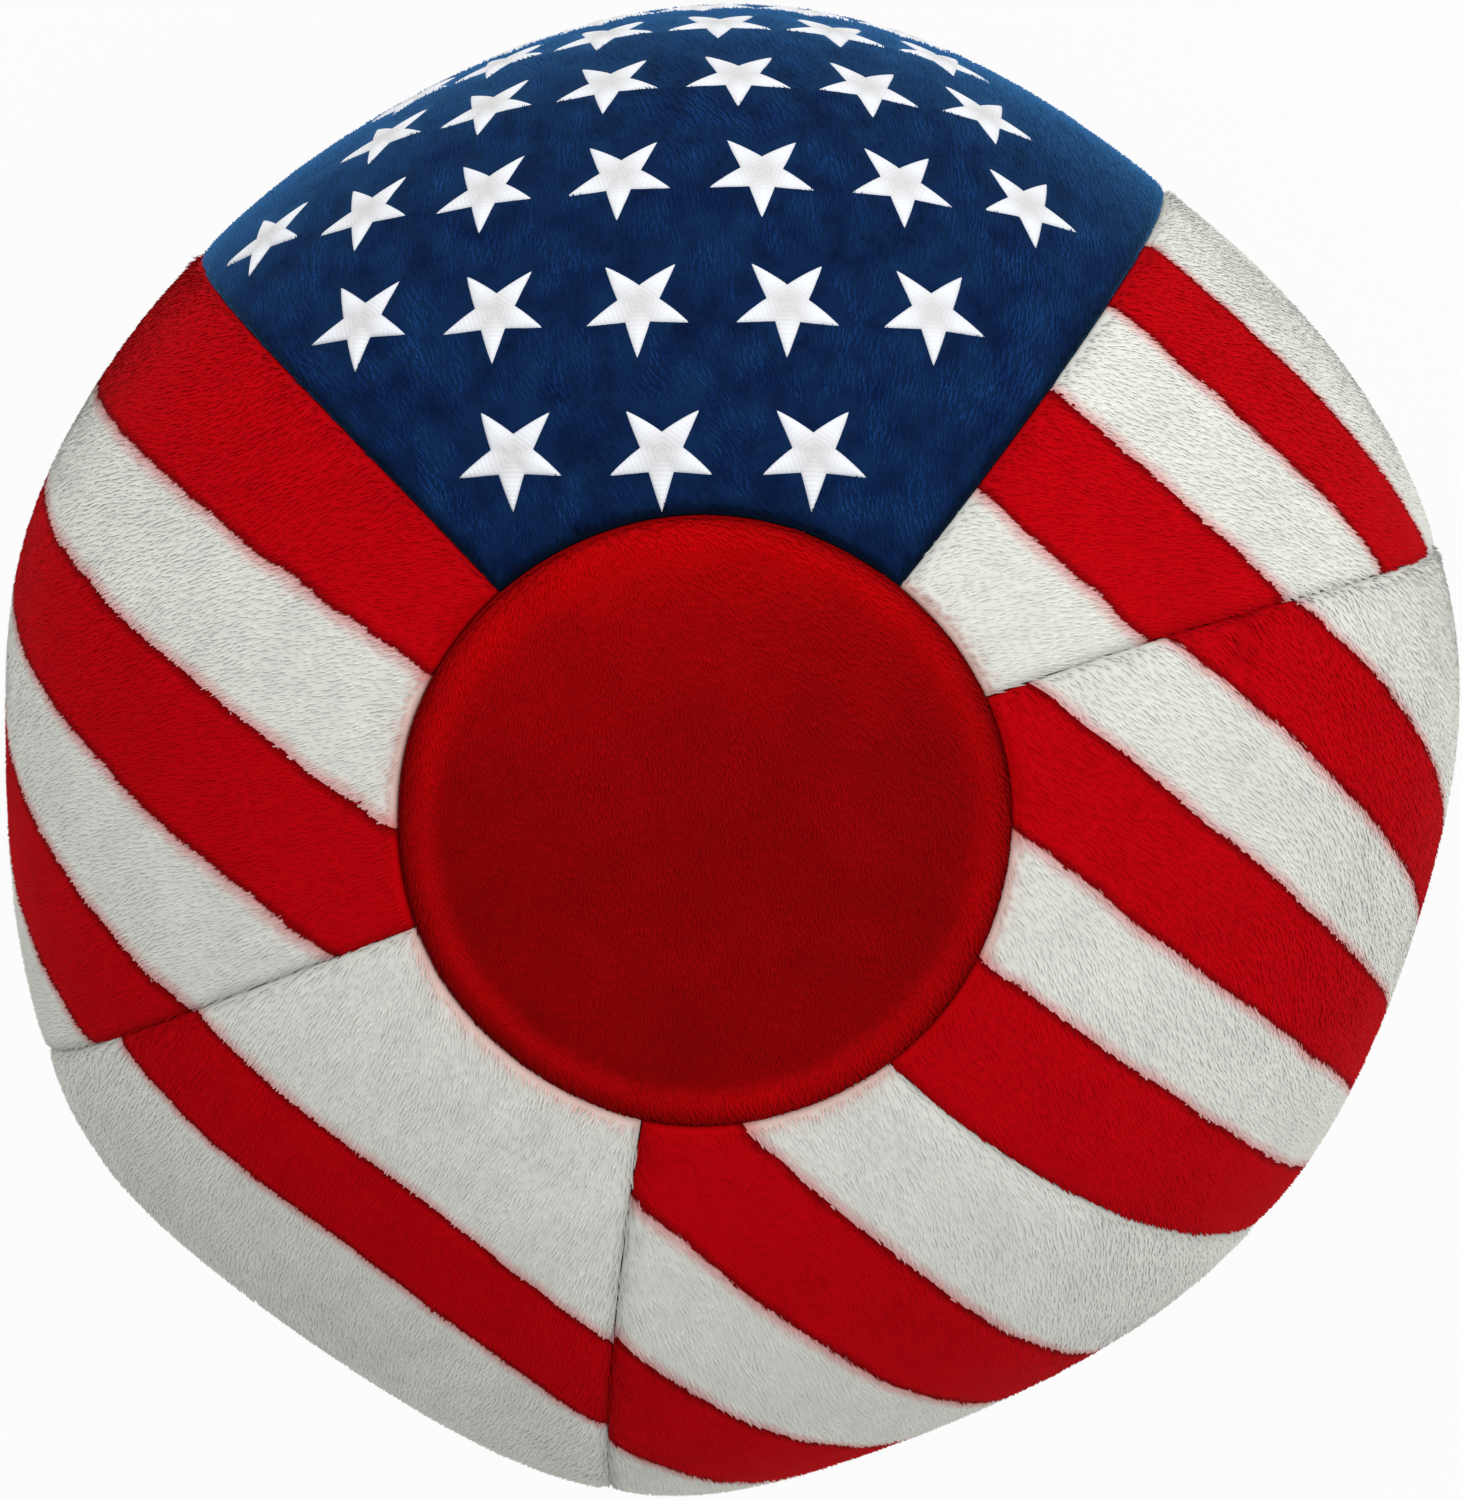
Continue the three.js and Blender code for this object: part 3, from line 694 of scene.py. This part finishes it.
def panel_cloth(panel, material):
    """A side panel's cloth: puffed between its seams, with edges turned in and a lining side."""
    rows, columns, across, down = panel_grid(panel)
    border = grid_border(rows, columns)
    outer = np.array(panel_place(panel, across, down, SEAM_GAP / 2))
    inner = np.array(panel_place(panel, across, down, SEAM_GAP / 2 + ALLOWANCE_CLOTH))
    fold = outer[:, border]
    hem = inner[:, border]
    lining_depth = np.maximum(CLOTH, panel_depth(panel, *inner) + LEAST_CLOTH)
    layers = [surface(*outer, panel_depth(panel, *outer)), surface(*inner, lining_depth)]
    layers += [surface(*fold, ALLOWANCE), surface(*hem, ALLOWANCE)]
    faces = panel_faces(rows, columns, border)
    piece = add_piece(PANEL_NAMES[panel] + "_cloth", np.concatenate(layers), faces, material, SHELL)
    azimuth, length = np.concatenate([outer, inner, fold, hem], axis=1)
    seam = seam_shadow(panel, azimuth, length)
    set_values(piece, seam=seam, blush=cap_blush(length), shade=CLOTH_SHADE, tip=0)
    if panel in STRIPES:
        set_values(piece, band=stripe_band(panel, azimuth, length))
    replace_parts(piece, PANEL_NAMES[panel])


def panel_pile(panel, material, stars):
    """The plush pile of a side panel, kept clear of its stars."""
    random = np.random.default_rng(PANEL_SEED + panel)
    spacing = STAR_PANEL_SPACING if panel == STAR_PANEL else PLUSH_SPACING
    azimuth, length = scattered(panel, spacing, random)
    clear = np.full(len(azimuth), NO_STAR)
    for star in stars:
        clear = np.minimum(clear, star_clearance(star, azimuth, length))
    kept = clear > 0
    azimuth, length, clear = azimuth[kept], length[kept], clear[kept]
    count = len(azimuth)
    roots = surface(azimuth, length, panel_depth(panel, azimuth, length) + PLUSH_ROOT)
    normal = cloth_normals(azimuth, length, lambda a, b: panel_depth(panel, a, b))
    way = lean(azimuth, length, panel_centre(panel), NAP[panel], NAP_TILT, roots, normal, random)
    tall = PLUSH_HEIGHT / math.cos(NAP_TILT) * random.uniform(*PLUSH_HEIGHTS, count)
    tall = tall * np.clip(CROPPED["least"] + clear / CROPPED["reach"], CROPPED["least"], 1)
    tips = roots + tall[:, None] * way
    width = PLUSH_WIDTH * random.uniform(*FIBRE_WIDTHS, count)
    piece = spikes(PANEL_NAMES[panel] + "_pile", roots, tips, width, normal, material)
    stray = FIBRE_STRAY * random.normal(size=count) + lumps(roots, STRIPE_STRAY)
    if panel in STRIPES:
        root_band = stripe_band(panel, azimuth, length) + stray
        tip_band = stripe_band(panel, *moved_place(azimuth, length, tips - roots)) + stray
        set_values(piece, band=np.stack([root_band] * 3 + [tip_band], -1).ravel())
    x, y = flat_place(azimuth, length, panel_centre(panel))
    shade = MIDDLE_SHADE + STREAK_SHADE * streaks(x, y, NAP[panel])
    shade = shade + FIBRE_SHADE * random.uniform(-1, 1, count)
    # painted shade in the ring round each star, where the pile is pressed down
    if panel == STAR_PANEL:
        shade = shade - STAR_SHADE * fading(clear, STAR_SHADE_SPREAD)
    seam = seam_shadow(panel, azimuth, length)
    set_fibre_values(piece, seam=seam, blush=cap_blush(length), shade=shade)


# Caps
def cap_faces(rings, top):
    """Faces of a cap: bands between its rings, and a fan in the middle of each side."""
    rows = np.arange(rings * CAP_SECTORS).reshape(rings, CAP_SECTORS).tolist()
    faces = []
    for outer, inner in zip(rows[1:], rows):
        faces += band_faces(outer, inner)
    peak = rings * CAP_SECTORS
    faces += [(rows[0][k], rows[0][(k + 1) % CAP_SECTORS], peak) for k in range(CAP_SECTORS)]
    faces += [(rows[-1][(k + 1) % CAP_SECTORS], rows[-1][k], peak + 1) for k in range(CAP_SECTORS)]
    return faces if top else [face[::-1] for face in faces]


def cap_cloth(node, top, material):
    """A round cap: a rolled rim, a low crown, edges turned in and a lining side."""
    reach = cap_reach(top)
    edge = SEAM_GAP / 2
    hem = edge + ALLOWANCE_CLOTH
    rooms = edge + (reach - edge) * np.linspace(0, INNERMOST_RING, CAP_RINGS) ** RING_CROWDING
    lining = hem + (reach - hem) * np.linspace(0, INNERMOST_RING, LINING_RINGS)
    rings = [(room, cap_depth(room, top)) for room in rooms[::-1]]
    rings += [(edge, ALLOWANCE), (hem, ALLOWANCE)]
    rings += [(room, max(CLOTH, cap_depth(room, top) + LEAST_CLOTH)) for room in lining]
    azimuth = np.linspace(0, 2 * np.pi, CAP_SECTORS, endpoint=False)
    layers = [surface(azimuth, cap_lengths(top, np.full(CAP_SECTORS, room)), depth) for room, depth in rings]
    middle = np.array([cap_lengths(top, reach)])
    layers += [surface(np.zeros(1), middle, depth) for depth in (cap_depth(reach, top), CLOTH)]
    faces = cap_faces(len(rings), top)
    piece = add_piece(node + "_cloth", np.concatenate(layers), faces, material, SHELL)
    middles = np.zeros(2)
    # painted shade along the cap's seam
    seam = np.append(np.repeat([fading(room, SEAM_SPREAD) for room, _ in rings], CAP_SECTORS), middles)
    # painted sheen along the rim and painted light on one side
    glow = np.append([painted_cap_light(azimuth, room, reach) for room, _ in rings], middles)
    set_values(piece, seam=seam, glow=glow, shade=CLOTH_SHADE, tip=0)
    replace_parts(piece, node)


def cap_pile(node, top, material):
    """The short velour pile of a cap."""
    random = np.random.default_rng(CAP_SEED + top)
    azimuth, room = cap_scattered(top, random)
    count = len(azimuth)
    length = cap_lengths(top, room)
    roots = surface(azimuth, length, cap_depth(room, top) + VELOUR_ROOT)
    normal = cloth_normals(azimuth, length, lambda _, b: cap_depth(np.abs(b - cap_lengths(top, 0)), top))
    way = lean(azimuth, length, azimuth, CAP_NAP, VELOUR_TILT, roots, normal, random)
    tall = VELOUR_HEIGHT / math.cos(VELOUR_TILT) * random.uniform(*VELOUR_HEIGHTS, count)
    tips = roots + tall[:, None] * way
    tips[:, 2] = np.maximum(tips[:, 2], FLOOR_GAP)
    width = VELOUR_WIDTH * random.uniform(*FIBRE_WIDTHS, count)
    piece = spikes(node + "_pile", roots, tips, width, normal, material)
    shade = MIDDLE_SHADE + lumps(roots, VELOUR_PATCH) + FIBRE_SHADE * random.uniform(-1, 1, count)
    # painted sheen along the rim and painted light on one side
    glow = painted_cap_light(azimuth, room, cap_reach(top))
    # painted shade along the cap's seam
    set_fibre_values(piece, seam=fading(room, SEAM_SPREAD), glow=glow, shade=shade)


# Stars
def star_places():
    """The places of the star grid that have room for a whole star, with their row."""
    centre = panel_centre(STAR_PANEL)
    places = []
    for row in range(STAR_ROWS):
        for column in range(-STAR_COLUMNS, STAR_COLUMNS + 1):
            x, y = (FIRST_STAR[k] + row * STAR_ROW[k] + column * STAR_COLUMN[k] for k in range(2))
            azimuth, length = from_flat(x, y, centre)
            room = min(panel_rooms(STAR_PANEL, azimuth, length))
            in_block = STAR_BLOCK[0] < x < STAR_BLOCK[1]
            if in_block and room > CAD_STAR_RADIUS + STAR_MARGIN:
                star = {"row": row, "azimuth": azimuth, "length": length, "radius": profile(length)[0]}
                star["turn"] = azimuth if length <= WAIST_LENGTH else centre
                places.append(star)
    return places


def star_reach(angle):
    """Distance from a star's centre to its outline; angle 0 is at a tip."""
    half = math.pi / STAR_ARMS
    fold = np.abs((angle + half) % (2 * half) - half)
    rise = STAR_WAIST * math.sin(half)
    run = STAR_WAIST * math.cos(half) - 1
    return STAR_RADIUS * rise / (rise * np.cos(fold) - run * np.sin(fold))


def star_clearance(star, azimuth, length):
    """Distance outside a star's outline and the gap round it, negative inside."""
    across = (azimuth - star["azimuth"]) * star["radius"]
    along = length - star["length"]
    angle = np.arctan2(across, along) + math.pi / 2 + star["turn"]
    return np.hypot(across, along) - star_reach(angle) - STAR_PILE_GAP


def blunt(notch, ring):
    """A share towards a notch, raised near the tip so that the arm ends in a blunt round."""
    return ring * (notch / ring) ** STAR_BLUNTNESS if ring > 0 else 0


def star_point(star, tip_turn, notch_turn, tip, notch):
    """Azimuth, length, depth and distance along the arm, from the shares towards a tip and a notch."""
    inside = 1 - tip - notch
    swell = STAR_WAIST * blunt(notch, 1 - inside)
    x = STAR_RADIUS * (tip * math.cos(tip_turn) + swell * math.cos(notch_turn))
    y = STAR_RADIUS * (tip * math.sin(tip_turn) + swell * math.sin(notch_turn))
    dome = math.sqrt(max(0, 1 - (1 - inside) ** 2))
    notch_line = STAR_CREASE["amount"] * math.exp(-tip / STAR_CREASE["spread"])
    height = STAR_TOP * dome * (1 - notch_line - STAR_DIMPLE * inside**2)
    angle = math.atan2(y, x) - math.pi / 2 - star["turn"]
    reach = math.hypot(x, y)
    azimuth = star["azimuth"] + reach * math.sin(angle) / star["radius"]
    length = star["length"] + reach * math.cos(angle)
    return azimuth, length, STAR_SINK - height, x * math.cos(tip_turn) + y * math.sin(tip_turn)


def star_field(star, field):
    """Points and faces of a tenth of a star, from its centre to a tip and the notch beside it."""
    tip_turn = 2 * math.pi * ((field + 1) // 2) / STAR_ARMS
    notch_turn = 2 * math.pi * (field // 2) / STAR_ARMS + math.pi / STAR_ARMS
    points, faces, number = [], [], {}
    for i in range(STAR_STEPS + 1):
        for j in range(STAR_STEPS + 1 - i):
            number[i, j] = len(points)
            points.append(star_point(star, tip_turn, notch_turn, i / STAR_STEPS, j / STAR_STEPS))
    for i in range(STAR_STEPS):
        for j in range(STAR_STEPS - i):
            faces.append((number[i, j], number[i + 1, j], number[i, j + 1]))
            if j < STAR_STEPS - i - 1:
                faces.append((number[i + 1, j], number[i + 1, j + 1], number[i, j + 1]))
    if field % 2 == 0:
        faces = [face[::-1] for face in faces]
    return points, faces


def star_piece(name, stars, material):
    """One piece of one or more stars, each closed by a skirt and a back under the pile."""
    points, faces = [], []
    for star in stars:
        for field in range(2 * STAR_ARMS):
            field_points, field_faces = star_field(star, field)
            start = len(points)
            faces += [tuple(start + number for number in face) for face in field_faces]
            points += field_points
    azimuth, length, depth, arm = np.array(points).T
    piece = add_piece(name, surface(azimuth, length, depth), faces, material, SHELL)
    set_values(piece, arm=arm)
    close_star(piece)
    return piece


def close_star(piece):
    """Welds the fields of a star and closes it downwards."""
    work = bmesh.new()
    work.from_mesh(piece.data)
    bmesh.ops.remove_doubles(work, verts=work.verts, dist=WELD)
    bmesh.ops.recalc_face_normals(work, faces=work.faces)
    edges = [edge for edge in work.edges if edge.is_boundary]
    made = bmesh.ops.extrude_edge_only(work, edges=edges)["geom"]
    for vert in [item for item in made if isinstance(item, bmesh.types.BMVert)]:
        radius = vert.co.xy.length
        _, _, outward, upward = profile(length_at(vert.co.z / MM, radius / MM))
        normal = Vector((vert.co.x / radius * outward, vert.co.y / radius * outward, upward))
        vert.co -= normal * (STAR_FOOT * MM)
    rims = [edge for edge in work.edges if edge.is_boundary]
    bmesh.ops.holes_fill(work, edges=rims, sides=0)
    bmesh.ops.recalc_face_normals(work, faces=work.faces)
    work.to_mesh(piece.data)
    work.free()


# Pellets
def fill_radius(level):
    """Radius of the fill, negative above it: a plug, the spread inside the panels, and a heap."""
    radius, levels, outward, upward = profile(np.linspace(BOTTOM_SEAM, WAIST_LENGTH, FILL_STEPS))
    inside = ALLOWANCE + FILL_CLEARANCE
    levels = levels - upward * inside
    reaches = radius - outward * inside
    top = levels[-1]
    levels = np.append(levels, [top + HEAP_SHOULDER["rise"] * FILL_HEAP, top + FILL_HEAP])
    reaches = np.append(reaches, [HEAP_SHOULDER["reach"] * reaches[-1], 0])
    plug = CAP_RADIUS - SEAM_GAP / 2 - ALLOWANCE_CLOTH - THREAD_ROOM - FILL_CLEARANCE
    return np.interp(level, levels, reaches, left=plug, right=-PELLET_RADIUS)


def pellet_places():
    """Centres of close-packed pellets inside the fill."""
    layer_rise = PELLET_SPACING * math.sqrt(2 / 3)
    row_rise = PELLET_SPACING * math.sqrt(3) / 2
    floor = CLOTH + FILL_GAP + PELLET_RADIUS
    shoulder = PELLET_RADIUS * PELLET_SHOULDER
    steps = int(2 * WAIST_RADIUS / PELLET_SPACING)
    places = []
    for layer in range(int(HEIGHT / layer_rise)):
        z = floor + layer * layer_rise
        room = min(fill_radius(z - shoulder), fill_radius(z + shoulder)) - PELLET_RADIUS
        for row in range(-steps, steps + 1):
            y = (row + (layer % 2) / 3) * row_rise
            for column in range(-steps, steps + 1):
                x = (column + (row % 2) / 2 + (layer % 2) / 2) * PELLET_SPACING
                if math.hypot(x, y) < room:
                    places.append((x, y, z))
    return places


def pellets(material):
    """The loose fill as separate rounded pellets."""
    ball = bmesh.new()
    bmesh.ops.create_icosphere(ball, subdivisions=2, radius=1)
    shape = np.array([vert.co for vert in ball.verts])
    sides = np.array([[vert.index for vert in face.verts] for face in ball.faces])
    ball.free()
    random = np.random.default_rng(PELLET_SEED)
    points, faces = [], []
    for number, place in enumerate(pellet_places()):
        turn = Matrix.Rotation(random.uniform(0, math.pi), 3, Vector(random.normal(size=3)).normalized())
        shares = np.array([1, random.uniform(*PELLET_BREADTHS), random.uniform(*PELLET_HEIGHTS)])
        points.append((shape * (PELLET_RADIUS * shares)) @ np.array(turn).T + place)
        faces += [tuple(face) for face in (sides + number * len(shape)).tolist()]
    piece = add_piece("pellets", np.concatenate(points), faces, material, "fill")
    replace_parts(piece, "pellet_fill")


# Materials
def new_material(name, roughness, **sockets):
    """An empty Principled material; constant sockets are set on the shader itself."""
    material = bpy.data.materials.new(name)
    material.use_nodes = True
    tree = material.node_tree
    shader = tree.nodes["Principled BSDF"]
    shader.inputs["Roughness"].default_value = roughness
    for socket, value in sockets.items():
        shader.inputs[socket.replace("_", " ")].default_value = value
    return material, tree, shader


def add_node(tree, kind, settings=None, **inputs):
    """A node with its settings and inputs, by name or as i0 or i1; a socket is linked."""
    node = tree.nodes.new(kind)
    for name, value in (settings or {}).items():
        setattr(node, name, value)
    for name, value in inputs.items():
        socket = node.inputs[int(name[1:])] if name[1:].isdigit() else node.inputs[name.replace("_", " ")]
        if isinstance(value, bpy.types.NodeSocket):
            tree.links.new(value, socket)
        else:
            socket.default_value = value
    return node


def point_value(tree, name):
    """The number stored under a name."""
    return add_node(tree, "ShaderNodeAttribute", {"attribute_name": name}).outputs["Fac"]


def math_node(tree, operation, first, second=0.0, third=0.0):
    """The result of an operation on up to three numbers or sockets."""
    node = add_node(tree, "ShaderNodeMath", {"operation": operation}, i0=first, i1=second, i2=third)
    return node.outputs[0]


def ramp(tree, value, stops):
    """A colour ramp; stops are (place, colour)."""
    node = add_node(tree, "ShaderNodeValToRGB", i0=value)
    elements = node.color_ramp.elements
    while len(elements) < len(stops):
        elements.new(0.5)
    for element, (place, colour) in zip(elements, stops):
        element.position = place
        element.color = (*colour, 1)
    return node.outputs["Color"]


def multiply(tree, first, second):
    """The product of two colours."""
    settings = {"data_type": "RGBA", "blend_type": "MULTIPLY"}
    return add_node(tree, "ShaderNodeMix", settings, i0=1.0, i6=first, i7=second).outputs[2]


def object_noise(tree, scale):
    """Noise in the part's own coordinates; scale is in lumps per metre."""
    place = add_node(tree, "ShaderNodeTexCoord").outputs["Object"]
    return add_node(tree, "ShaderNodeTexNoise", Vector=place, Scale=scale, Detail=3.0).outputs["Fac"]


def mottled(tree, scale, colours):
    """Two colours that pass into each other in lumps."""
    return ramp(tree, object_noise(tree, scale), list(zip(MOTTLE_LEVELS, colours)))


def grey(level):
    return (level,) * 3


def tint(tree, name, colour):
    """White where a point value is 0, and a colour where it is 1."""
    return ramp(tree, point_value(tree, name), [(0, grey(1)), (1, colour)])


def bump(tree, shader, height, strength, distance):
    """Unevenness from a height; the distance is in millimetres."""
    node = add_node(tree, "ShaderNodeBump", Height=height, Strength=strength, Distance=distance * MM)
    tree.links.new(node.outputs["Normal"], shader.inputs["Normal"])


def pile_colour(tree, shader, colour, pile):
    """Gives the shader a pile's colour, with painted shade at seams and roots, and uneven from tuft to tuft.
    """
    # painted shade: the pile darkens towards its roots
    depth = ramp(tree, point_value(tree, "tip"), [(0, grey(pile["root"])), (1, grey(1))])
    tones = [grey(pile["dark"]), grey(pile["light"])]
    tuft = ramp(tree, point_value(tree, "shade"), list(zip(TUFT_LEVELS, tones)))
    patch = mottled(tree, scale=320, colours=PATCH_COLOURS)
    for shading in (tint(tree, "seam", grey(pile["seam"])), depth, tuft, patch):
        colour = multiply(tree, colour, shading)
    tree.links.new(colour, shader.inputs["Base Color"])


def striped_plush():
    """White plush with red stripes, pink along their edges with a painted shadow line on the red, and painted
    red bounce light at the caps.
    """
    material, tree, shader = new_material("striped_plush", roughness=0.9, Specular_IOR_Level=CLOTH_GLOSS)
    pair = math_node(tree, "FRACT", math_node(tree, "MULTIPLY", point_value(tree, "band"), 0.5))
    stops = [(0, PINK), (PINK_EDGE, WHITE), (0.5 - PINK_EDGE, WHITE), (0.5 - SHARP_EDGE, PINK)]
    # dark red at the red's edges: a painted shadow line
    stops += [(0.5 + SHARP_EDGE, DARK_RED), (0.5 + DARK_EDGE, RED)]
    stops += [(1 - DARK_EDGE, RED), (1 - LAST_EDGE, DARK_RED)]
    # painted red bounce light beside the caps
    colour = multiply(tree, ramp(tree, pair, stops), tint(tree, "blush", PAINTED_BOUNCE))
    pile_colour(tree, shader, colour, STRIPED_PILE)
    return material


def blue_plush():
    """Blue plush with a bluish sheen."""
    sheen = {"Sheen_Weight": 0.9, "Sheen_Roughness": 0.35, "Sheen_Tint": BLUE_SHEEN}
    sheen["Specular_IOR_Level"] = CLOTH_GLOSS
    material, tree, shader = new_material("blue_plush", roughness=0.85, **sheen)
    pile_colour(tree, shader, mottled(tree, scale=700, colours=BLUES), BLUE_PILE)
    return material


def red_velour():
    """Dark red velour, with a painted sheen along its rim and painted light on the side towards the back lamp.
    """
    material, tree, shader = new_material("red_velour", roughness=0.85, Specular_IOR_Level=CLOTH_GLOSS)
    colour = mottled(tree, scale=160, colours=VELOUR_REDS)
    # painted sheen and painted light, from the glow value
    colour = multiply(tree, colour, tint(tree, "glow", grey(VELOUR_PAINTED_LIGHT)))
    pile_colour(tree, shader, colour, VELOUR_PILE)
    return material


def star_thread():
    """White satin stitch that lies across each arm, greyer in the middle of the star."""
    material, tree, shader = new_material("star_thread", roughness=0.45, Sheen_Weight=0.2)
    arm = point_value(tree, "arm")
    wave = math_node(tree, "SINE", math_node(tree, "MULTIPLY", arm, 2 * math.pi / SATIN_STITCH))
    share = math_node(tree, "DIVIDE", arm, STAR_RADIUS)
    satin = ramp(tree, share, list(zip(SATIN_LEVELS, (SATIN_MIDDLE, SATIN_ARM))))
    level = math_node(tree, "MULTIPLY_ADD", wave, 0.5, 0.5)
    lines = ramp(tree, level, [(0, grey(SATIN_LINE)), (1, grey(1))])
    tree.links.new(multiply(tree, satin, lines), shader.inputs["Base Color"])
    bump(tree, shader, wave, strength=0.12, distance=0.04)
    return material


def grained(name, roughness, colours, scale, grain, strength):
    """Two mottled colours with a fine grain, for thread and pellets."""
    material, tree, shader = new_material(name, roughness)
    tree.links.new(mottled(tree, scale, colours), shader.inputs["Base Color"])
    bump(tree, shader, object_noise(tree, grain), strength, distance=0.1)
    return material


# Studio
def make_camera():
    """The camera at the photograph's viewing angle, almost straight above."""
    away, azimuth = math.sin(CAMERA_LEAN), CAMERA_LEAN_AZIMUTH
    back = Vector((away * math.cos(azimuth), away * math.sin(azimuth), math.cos(CAMERA_LEAN)))
    up = (Vector((0, 1, 0)) - back * back.y).normalized()
    right = up.cross(back)
    data = bpy.data.cameras.new("camera")
    data.lens = CAMERA_LENS
    data.shift_x, data.shift_y = CAMERA_SHIFT
    data.clip_start = CAMERA_CLIP
    camera = show("camera", data)
    camera.matrix_world = Matrix((right, up, back)).transposed().to_4x4()
    camera.location = Vector((0, 0, HEIGHT / 2)) * MM + back * CAMERA_DISTANCE * MM
    scene.camera = camera


def area_light(name, place, power):
    """A soft lamp that points at the bag."""
    data = bpy.data.lights.new(name, "AREA")
    data.size = LAMP_SIZE
    data.energy = power
    light = show(name, data)
    light.location = place
    light.visible_camera = False
    light.rotation_euler = (Vector(LAMP_AIM) - Vector(place)).to_track_quat("-Z", "Y").to_euler()


def seen_directly(tree):
    """1 for rays from the camera, reflections and glass; 0 for the light that falls on the object."""
    path = add_node(tree, "ShaderNodeLightPath").outputs
    seen = math_node(tree, "MAXIMUM", path["Is Camera Ray"], path["Is Glossy Ray"])
    return math_node(tree, "MAXIMUM", seen, path["Is Transmission Ray"])


def make_world():
    """Soft light, stronger from the window's side, behind a background that looks white."""
    world = bpy.data.worlds.new("studio")
    scene.world = world
    world.use_nodes = True
    tree = world.node_tree
    way = add_node(tree, "ShaderNodeTexCoord").outputs["Generated"]
    towards = add_node(tree, "ShaderNodeVectorMath", {"operation": "DOT_PRODUCT"}, i0=way, i1=WINDOW)
    ambient = math_node(tree, "MULTIPLY_ADD", towards.outputs["Value"], AMBIENT_SLANT, AMBIENT)
    rest = math_node(tree, "MULTIPLY", seen_directly(tree), math_node(tree, "SUBTRACT", 1.0, ambient))
    strength = math_node(tree, "ADD", rest, ambient)
    tree.links.new(strength, tree.nodes["Background"].inputs["Strength"])
    tree.nodes["Background"].inputs["Color"].default_value = (1, 1, 1, 1)


def make_floor():
    """A pale floor that looks white to the camera and keeps a faint shadow."""
    material, tree, shader = new_material("floor", roughness=0.9, Base_Color=FLOOR_COLOUR)
    glow = add_node(tree, "ShaderNodeEmission", Color=(1, 1, 1, 1), Strength=1.0)
    share = math_node(tree, "MULTIPLY", seen_directly(tree), FLOOR_GLOW)
    mix = add_node(tree, "ShaderNodeMixShader", i0=share, i1=shader.outputs[0], i2=glow.outputs[0])
    tree.links.new(mix.outputs[0], tree.nodes["Material Output"].inputs["Surface"])
    mesh = bpy.data.meshes.new("floor")
    corners = [(-FLOOR, -FLOOR, 0), (FLOOR, -FLOOR, 0), (FLOOR, FLOOR, 0), (-FLOOR, FLOOR, 0)]
    mesh.from_pydata(corners, [], [(0, 1, 2, 3)])
    mesh.materials.append(material)
    show("floor", mesh)


# The scene
scene.view_settings.view_transform = "Standard"
make_camera()
make_world()
make_floor()
for lamp in LAMPS:
    area_light(**lamp)

stars = star_places()
stripes = striped_plush()
blue = blue_plush()
for panel in range(len(PANEL_NAMES)):
    is_blue = panel == STAR_PANEL
    look = blue if is_blue else stripes
    panel_cloth(panel, look)
    panel_pile(panel, look, stars if is_blue else [])

velour = red_velour()
for node, top in (("top_cap", True), ("bottom_cap", False)):
    cap_cloth(node, top, velour)
    cap_pile(node, top, velour)

satin = star_thread()
for number, star in enumerate([star for star in stars if star["row"] < CAD_STAR_ROWS]):
    node = f"star_{number + 1:02d}"
    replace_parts(star_piece(node + "_satin", [star], satin), node)
for row in range(CAD_STAR_ROWS, STAR_ROWS):
    in_row = [star for star in stars if star["row"] == row]
    star_piece(f"lower_stars_{row - CAD_STAR_ROWS + 1}", in_row, satin)

thread = grained("seam_thread", 0.6, THREAD_COLOURS, scale=900, grain=2500, strength=0.4)
for name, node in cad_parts.items():
    if "_thread" in name:
        node.material_slots[0].material = thread
pellets(grained("pellet_plastic", 0.45, PELLET_COLOURS, scale=260, grain=1500, strength=0.2))
